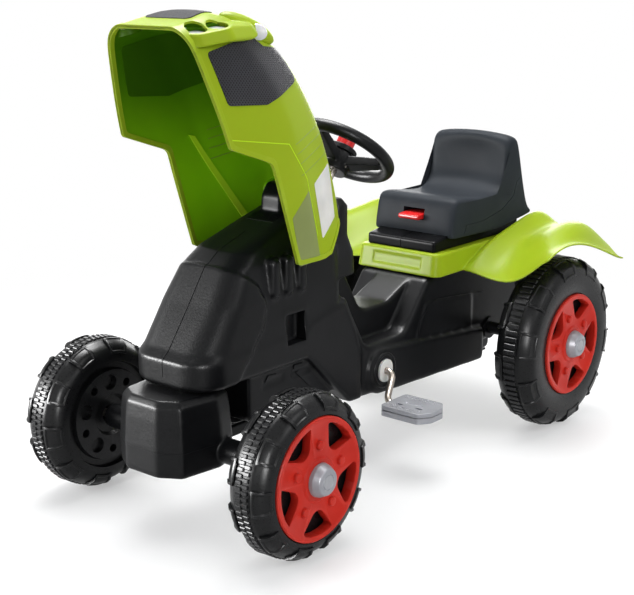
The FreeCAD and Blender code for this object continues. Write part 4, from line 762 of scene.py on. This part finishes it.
for side, word in ((1, "left"), (-1, "right")):
    up = Vector((podSpec["tilt"][0], side * podSpec["tilt"][1], podSpec["tilt"][2])).normalized()
    tops = [at(x, side * y, z) for x, y, z in podSpec["spots"]]
    hills = []
    ridge = at(bulgeSpec["spot"][0], side * bulgeSpec["spot"][1], bulgeSpec["spot"][2] + 6)
    spots = [tops[0].lerp(tops[1], k / 5) for k in range(6)]
    spots += [tops[1].lerp(ridge, k / 12) for k in range(1, 9)]
    for spot in spots:
        bpy.ops.object.select_all(action="DESELECT")
        bpy.ops.mesh.primitive_cone_add(
            vertices=64, radius1=podSpec["foot"] / 1000, radius2=podSpec["top"] / 1000,
            depth=podSpec["deep"] / 1000, location=spot - up * podSpec["deep"] / 2000,
            rotation=up.to_track_quat("Z", "Y").to_euler())
        settle(bpy.context.object)
        hills.append(bpy.context.object)
    flip = Vector((1, side, 1))
    spot = at(bulgeSpec["spot"][0], side * bulgeSpec["spot"][1], bulgeSpec["spot"][2])
    axes = threeAxes(Vector(bulgeSpec["along"]) * flip, Vector(bulgeSpec["out"]) * flip)
    pod = joined(ball("bulge", spot, axes, bulgeSpec["size"]), hills)
    useModifier(pod, "REMESH", mode="VOXEL", voxel_size=0.001)
    useModifier(pod, "SMOOTH", factor=0.5, iterations=36)
    for spot in tops:
        hole = drum("recess", spot - up * podSpec["recess"] / 1000, spot + up * 0.01, podSpec["hole"], 64)
        carve(pod, [copyOf(hole, "recess")])
        turn(hole, -openAngle, hinge)
        carve(bonnet, [hole])
        tube = drum("tube", spot - up * 0.0095, spot - up * 0.0015, podSpec["hole"] + 1.5, 64)
        carve(tube, [drum("recess", spot - up * 0.008, spot + up * 0.01, podSpec["hole"], 64)])
        tubes.append(tube)
        lens = drum("lens", spot - up * 0.0078, spot - up * 0.0052, podSpec["hole"] - 0.3, 48)
        startEdit(lens)
        bpy.ops.mesh.bevel(offset=0.001, segments=3, affect="EDGES")
        endEdit()
        lenses.append(lens)
    way = (Vector(bulgeSpec["lensWay"]) * flip).normalized()
    spot = at(bulgeSpec["lensSpot"][0], side * bulgeSpec["lensSpot"][1], bulgeSpec["lensSpot"][2])
    glassAxes = threeAxes(axes[0] - way * axes[0].dot(way), way)
    glass = ball("headlamp_glass_" + word, spot, glassAxes, bulgeSpec["lens"])
    finishPiece(glass, "bonnet", "lens_white", ["headlamp_" + word], 60)
    turn(pod, -openAngle, hinge)
    carve(pod, [copyOf(bonnetFull, "full")])
    carve(pod, [sideSlab("trim", bonnetTrim, -150, 150)], "INTERSECT")
    pod.data.materials.clear()
    pod.data.materials.append(looks["green_plastic"])
    pods.append(pod)
bpy.data.objects.remove(bonnetFull)
joined(bonnet, ears + [bonnetRim] + pods)
turn(bonnet, openAngle, hinge)
for tube in tubes:
    tube.data.materials.clear()
    tube.data.materials.append(looks["green_inside_shaded"])
joined(bonnet, tubes)
finishPiece(bonnet, "bonnet", "green_plastic", ["bonnet_shell"], 32, True)
lensSet = joined(lenses[0], lenses[1:])
lensSet.name = "lamp_lenses"
finishPiece(lensSet, "bonnet", "lens_white", ["lamp_discs"], 40)


def layerPatch(name, tool, push, look, stands=()):
    # piece of the bonnet's skin, lifted off it a little
    patch = copyOf(bonnetShell, name)
    carve(patch, [tool], "INTERSECT")
    shift(patch, push)
    turn(patch, openAngle, hinge)
    finishPiece(patch, "bonnet", look, stands, 32)
    return patch


grilleOutline = (
    (692, 247, 5), (690, 322, 6), (684, 340, 4), (669, 355, 9), (657, 388, 6), (609, 409, 7), (605, 322, 9),
    (625, 254, 7))
plateOutline = ((483, 446, 3), (410, 433, 3), (398, 386, 3), (475, 389, 3))
panelOutline = ((474, 371, 2), (376, 371, 2), (385, 326, 2), (452, 326, 2))
foldLine = ((612, 237), (586, 242), (545, 346), (489, 371), (408, 373))
foldOutline = [(x, z, 0) for x, z in foldLine] + [(x + 0.9, z + 1.0, 0) for x, z in reversed(foldLine)]
ribOutline = ((542, 347, 0), (538, 356, 0), (394, 421, 0), (394, 411, 0))


def sideTool(outline, side):
    return sideSlab("tool", outline, side * 30, side * 140)


def stripTool(low, high, side):
    # four narrow upright strips
    strips = []
    for x in (498, 513, 527, 540):
        outline = ((x - 0.6, low, 0), (x + 0.6, low, 0), (x + 0.6, high, 0), (x - 0.6, high, 0))
        strips.append(sideTool(outline, side))
    return joined(strips[0], strips[1:])


for side, word in ((1, "left"), (-1, "right")):
    layerPatch("grille_mesh_" + word, sideTool(grilleOutline, side), Vector((0, side * 0.0009, 0.0003)),
               "grille_mesh", ["side_grille_" + word])
    layerPatch("side_plate_" + word, sideTool(plateOutline, side), Vector((0, side * 0.0003, 0.0002)),
               "white_plastic")
    layerPatch("side_panel_" + word, sideTool(panelOutline, side), Vector((0, side * 0.0003, 0.0001)),
               "olive_panel")
    # narrow darker strips outside and inside: painted shade lines
    layerPatch("side_lines_" + word, stripTool(360, 449, side), Vector((0, side * 0.0002, 0.0001)),
               "green_shade_line")
    layerPatch("side_fold_" + word, sideTool(foldOutline, side), Vector((0, side * 0.0004, 0.0001)),
               "green_lit")
    layerPatch("inner_rib_" + word, sideTool(ribOutline, side), Vector((0, -side * 0.0016, -0.0006)),
               "green_lit")
    # darker green patch on the grille's back inside: painted shade
    layerPatch("grille_back_" + word, sideTool(grilleOutline, side), Vector((0, -side * 0.0005, -0.0002)),
               "green_back_shaded")
    layerPatch("inner_lines_" + word, stripTool(376, 440, side), Vector((0, -side * 0.0004, -0.0002)),
               "green_shade_line")
noseOutline = ((-40, 262, 8), (40, 262, 8), (30, 316, 8), (-30, 316, 8))
layerPatch("nose_mesh", frontSlab("tool", noseOutline, 690, 760), Vector((0.0009, 0, 0.0003)), "grille_black",
           ["nose_grille"])
bpy.data.objects.remove(bonnetShell)
print("bonnet")

# seat, drawn as loops across its width

seatLine = (
    (134, 305), (132, 330), (127, 356), (118, 367), (98, 366), (62, 361), (28, 357), (2, 359), (-14, 372),
    (-21, 396), (-23, 428), (-27, 446), (-38, 454), (-50, 452), (-59, 440), (-70, 402), (-82, 360),
    (-94, 328), (-106, 322), (-105, 313), (-55, 308), (0, 300), (70, 303), (120, 304))
seatLoops = (  # place across the seat and how far the outline draws in there
    (-74.8, 9), (-73.5, 4), (-69, 1), (-56, 0), (-28, 0), (0, 0), (28, 0), (56, 0), (69, 1), (73.5, 4),
    (74.8, 9))
seatGroove = ((99, 308), (91, 322), (42, 322), (-12, 332.5), (-45, 350), (-54, 371), (-73, 384))


def seatLoop(y, inset):
    points = []
    for i, (x, z) in enumerate(seatLine):
        ahead = Vector(seatLine[(i + 1) % len(seatLine)]) - Vector(seatLine[i - 1])
        inward = Vector((-ahead.y, ahead.x)).normalized()
        share = inset * (0.3 if z < 315 else 1.3 if z > 440 else 1)
        middle = max(0, 1 - (y / 69) ** 2)
        down = 4 * middle if 20 <= x <= 64 and z > 340 else 6 * (y / 74) ** 2 if z > 440 else 0
        back = 9 * middle if -24 <= x <= -10 and 365 < z < 440 else 0
        points.append(at(x + inward.x * share - back, y, z + inward.y * share - down))
    return points


loops = []
for y, inset in seatLoops:
    loop = drawLine("loop", seatLoop(y, inset))
    startEdit(loop)
    bpy.ops.mesh.edge_face_add()
    if abs(y) < 74.6:
        bpy.ops.mesh.delete(type="ONLY_FACE")
    endEdit()
    loops.append(loop)
seat = joined(loops[0], loops[1:])
seat.name = "seat_skin"
startEdit(seat)
bpy.ops.mesh.bridge_edge_loops(type="SINGLE")
bpy.ops.mesh.select_all(action="SELECT")
bpy.ops.mesh.normals_make_consistent(inside=False)
endEdit()
subdivide(seat, 2)
under = ((150, 307.4, 0), (-120, 345.3, 0), (-120, 250, 0), (150, 250, 0))
grooves = []
for side in (1, -1):
    strip = [(x, z, 0) for x, z in seatGroove] + [(x + 1.1, z + 1.1, 0) for x, z in reversed(seatGroove)]
    grooves.append(sideSlab("groove", strip, side * 73.6, side * 80))
carve(seat, [sideSlab("under", under, -65, 65), block("slot", (60, -20, 329.5), (150, 20, 347))] + grooves)
finishPiece(seat, "seat", "seat_grey", ["seat_shell"], 40)
print("seat")

# softened copies of the moulded parts

softSpecs = (
    {"node": "mudguard", "name": "mudguard_skin", "voxel": 0.0014, "rounds": 8, "keep": 0.22},
    {"node": "axle_block", "name": "axle_skin", "voxel": 0.0017, "rounds": 8, "keep": 0.35},
    {"node": "steering_wheel", "name": "wheel_rim", "voxel": 0.0012, "rounds": 6, "keep": 0.4},
    {"node": "seat_latch", "name": "latch_handle", "voxel": 0.0008, "rounds": 5, "keep": 0.5},
    {"node": "horn_button", "name": "horn_knob", "voxel": 0.0007, "rounds": 10, "keep": 0.5},
    {"node": "horn_cup", "name": "horn_dish", "voxel": 0.0007, "rounds": 6, "keep": 0.5},
)
blockLine = softCopy("axle_block", "block_line", 0.0022, 4, 0.5)  # parting line of the axle block
carve(blockLine, [block("tool", (604, -100, 119.4), (740, 100, 120.6))], "INTERSECT")
startEdit(blockLine)
bpy.ops.transform.resize(value=(1.007, 1.007, 1), center_override=at(664, 0, 120))
endEdit()
finishPiece(blockLine, bodyOf["axle_block"], "black_plastic", (), 40)
for spec in softSpecs:
    piece = softCopy(spec["node"], spec["name"], spec["voxel"], spec["rounds"], spec["keep"])
    finishPiece(piece, bodyOf[spec["node"]], slotOf[spec["node"]], [spec["node"]], 60)
for side, word in ((1, "left"), (-1, "right")):
    ring = hoop("crank_ring_" + word, at(298.4, side * 71, 136), 24.5, 2.8, 16)
    finishPiece(ring, "chassis", "black_plastic", (), 60)
rail = mergedCopy("seat_rail", "rail_skin")
lids = [drum("lid", at(x, y, 294), at(x, y, 305 + (164 - x) * 0.1405 - 0.4), 7.2)
        for x in (-50, 130) for y in (-45, 45)]
joined(rail, lids)
soften(rail, 0.0015, 3, 0.4)
seam = ((170, 280, 0), (170, 306, 0), (100, 316, 0), (100, 313, 0), (162.8, 304, 0), (162.8, 280, 0))
carve(rail, [sideSlab("seam", seam, -0.6, 0.6)])
finishPiece(rail, bodyOf["seat_rail"], "shaded_black", ["seat_rail", "rail_screws"], 50)
for word in ("left", "right"):
    for place in ("front", "rear"):
        node = place + "_cap_" + word
        piece = softCopy(node, node + "_skin", 0.0006, 3, 0.45)
        spots = [v.co for v in piece.data.vertices]
        face = sum(spots, Vector()) / len(spots)
        face.y = max((spot.y for spot in spots), key=abs)
        carve(piece, [hoop("groove", face, 9.5, 0.9, 12)])
        finishPiece(piece, bodyOf[node], slotOf[node], [node], 40)
    for half in ("upper", "lower"):
        node = "pedal_" + half + "_" + word
        piece = softCopy(node, node + "_skin", 0.0005, 2, 0.3)
        finishPiece(piece, bodyOf[node], slotOf[node], [node], 60)
print("soft copies")

# camera, floor and light

def seenRays(tree):
    # 1 for what the camera sees, straight on or in metal and glass
    path = tree.nodes.new("ShaderNodeLightPath")
    seen = path.outputs["Is Camera Ray"]
    for ray in ("Is Glossy Ray", "Is Transmission Ray"):
        either = tree.nodes.new("ShaderNodeMath")
        either.operation = "MAXIMUM"
        tree.links.new(seen, either.inputs[0])
        tree.links.new(path.outputs[ray], either.inputs[1])
        seen = either.outputs["Value"]
    return seen


scene = bpy.context.scene
camData = bpy.data.cameras.new("camera")
camData.lens = 74.94
camData.sensor_width = 36
camera = bpy.data.objects.new("camera", camData)
scene.collection.objects.link(camera)
camera.location = (1.4970, 1.1785, 0.72709)
camera.rotation_euler = (math.radians(90 - 14.4705), 0, math.radians(129.502))
scene.camera = camera

bpy.ops.object.select_all(action="DESELECT")
bpy.ops.mesh.primitive_plane_add(size=14, location=(0, 0, 0))
floor = bpy.context.object
floor.name = "floor"
floorMat = bpy.data.materials.new("floor_white")
floorMat.use_nodes = True
ground = floorMat.node_tree
floorShader = ground.nodes["Principled BSDF"]
floorShader.inputs["Base Color"].default_value = (0.95, 0.95, 0.95, 1)
floorShader.inputs["Roughness"].default_value = 0.6
floorShader.inputs["Specular IOR Level"].default_value = 0.1
glow = ground.nodes.new("ShaderNodeEmission")
glow.inputs["Color"].default_value = (1, 1, 1, 1)
glow.inputs["Strength"].default_value = 1
pale = ground.nodes.new("ShaderNodeMath")  # the shadow stays pale to the camera
pale.operation = "MULTIPLY"
pale.inputs[1].default_value = 0.4
soft = ground.nodes.new("ShaderNodeMixShader")
ground.links.new(seenRays(ground), pale.inputs[0])
ground.links.new(pale.outputs["Value"], soft.inputs[0])
ground.links.new(floorShader.outputs["BSDF"], soft.inputs[1])
ground.links.new(glow.outputs["Emission"], soft.inputs[2])
reach = ground.nodes.new("ShaderNodeVectorMath")
reach.operation = "LENGTH"
fade = ground.nodes.new("ShaderNodeMapRange")  # the floor runs out into the white behind it
fade.interpolation_type = "SMOOTHSTEP"
fade.inputs["From Min"].default_value = 0.75
fade.inputs["From Max"].default_value = 1.25
spotOn = ground.nodes.new("ShaderNodeTexCoord")
clear = ground.nodes.new("ShaderNodeBsdfTransparent")
both = ground.nodes.new("ShaderNodeMixShader")
ground.links.new(spotOn.outputs["Object"], reach.inputs[0])
ground.links.new(reach.outputs["Value"], fade.inputs["Value"])
ground.links.new(fade.outputs["Result"], both.inputs[0])
ground.links.new(soft.outputs["Shader"], both.inputs[1])
ground.links.new(clear.outputs["BSDF"], both.inputs[2])
ground.links.new(both.outputs["Shader"], ground.nodes["Material Output"].inputs["Surface"])
floor.data.materials.append(floorMat)

lightSpecs = (  # the sheen lamps add to highlights alone
    {"name": "top", "spot": (-0.3, -0.4, 2.4), "aim": (0.0, 0.0, 0.2), "size": (2.2, 1.8), "watts": 60},
    {"name": "key", "spot": (1.8, -1.7, 0.9), "aim": (0.25, 0.0, 0.25), "size": (1.3, 1.0), "watts": 30},
    {"name": "side", "spot": (-0.2, 2.3, 1.9), "aim": (0.0, 0.0, 0.3), "size": (1.6, 1.0), "watts": 24},
    {"name": "back", "spot": (-2.2, -1.7, 0.95), "aim": (0.0, 0.0, 0.35), "size": (2.6, 1.0), "watts": 50},
    {"name": "sheen_front", "spot": (2.15, -1.5, 0.62), "aim": (0.3, 0.0, 0.22), "size": (2.0, 0.8),
     "watts": 420, "diffuse": False},
    {"name": "sheen_eye", "spot": (1.75, 1.60, 0.75), "aim": (0.3, 0.0, 0.25), "size": (0.5, 0.8),
     "watts": 60, "diffuse": False},
    {"name": "sheen_top", "spot": (-0.2, -0.5, 2.2), "aim": (0.1, 0.0, 0.3), "size": (1.2, 1.0),
     "watts": 170, "diffuse": False},
)
for spec in lightSpecs:
    lamp = bpy.data.lights.new(spec["name"], "AREA")
    lamp.shape = "RECTANGLE"
    lamp.size, lamp.size_y = spec["size"]
    lamp.energy = spec["watts"]
    holder = bpy.data.objects.new(spec["name"], lamp)
    scene.collection.objects.link(holder)
    holder.location = spec["spot"]
    way = Vector(spec["aim"]) - Vector(spec["spot"])
    holder.rotation_euler = way.to_track_quat("-Z", "Y").to_euler()
    holder.visible_diffuse = spec.get("diffuse", True)

world = bpy.data.worlds.new("studio")
scene.world = world
world.use_nodes = True
air = world.node_tree
seen = air.nodes["Background"]
seen.inputs["Color"].default_value = (1, 1, 1, 1)
seen.inputs["Strength"].default_value = 1
fill = air.nodes.new("ShaderNodeBackground")
fill.inputs["Color"].default_value = (0.95, 0.97, 1, 1)
fill.inputs["Strength"].default_value = 0.45
pick = air.nodes.new("ShaderNodeMixShader")
air.links.new(seenRays(air), pick.inputs[0])
air.links.new(fill.outputs["Background"], pick.inputs[1])
air.links.new(seen.outputs["Background"], pick.inputs[2])
air.links.new(pick.outputs["Shader"], air.nodes["World Output"].inputs["Surface"])
scene.view_settings.view_transform = "Standard"
print("stage")
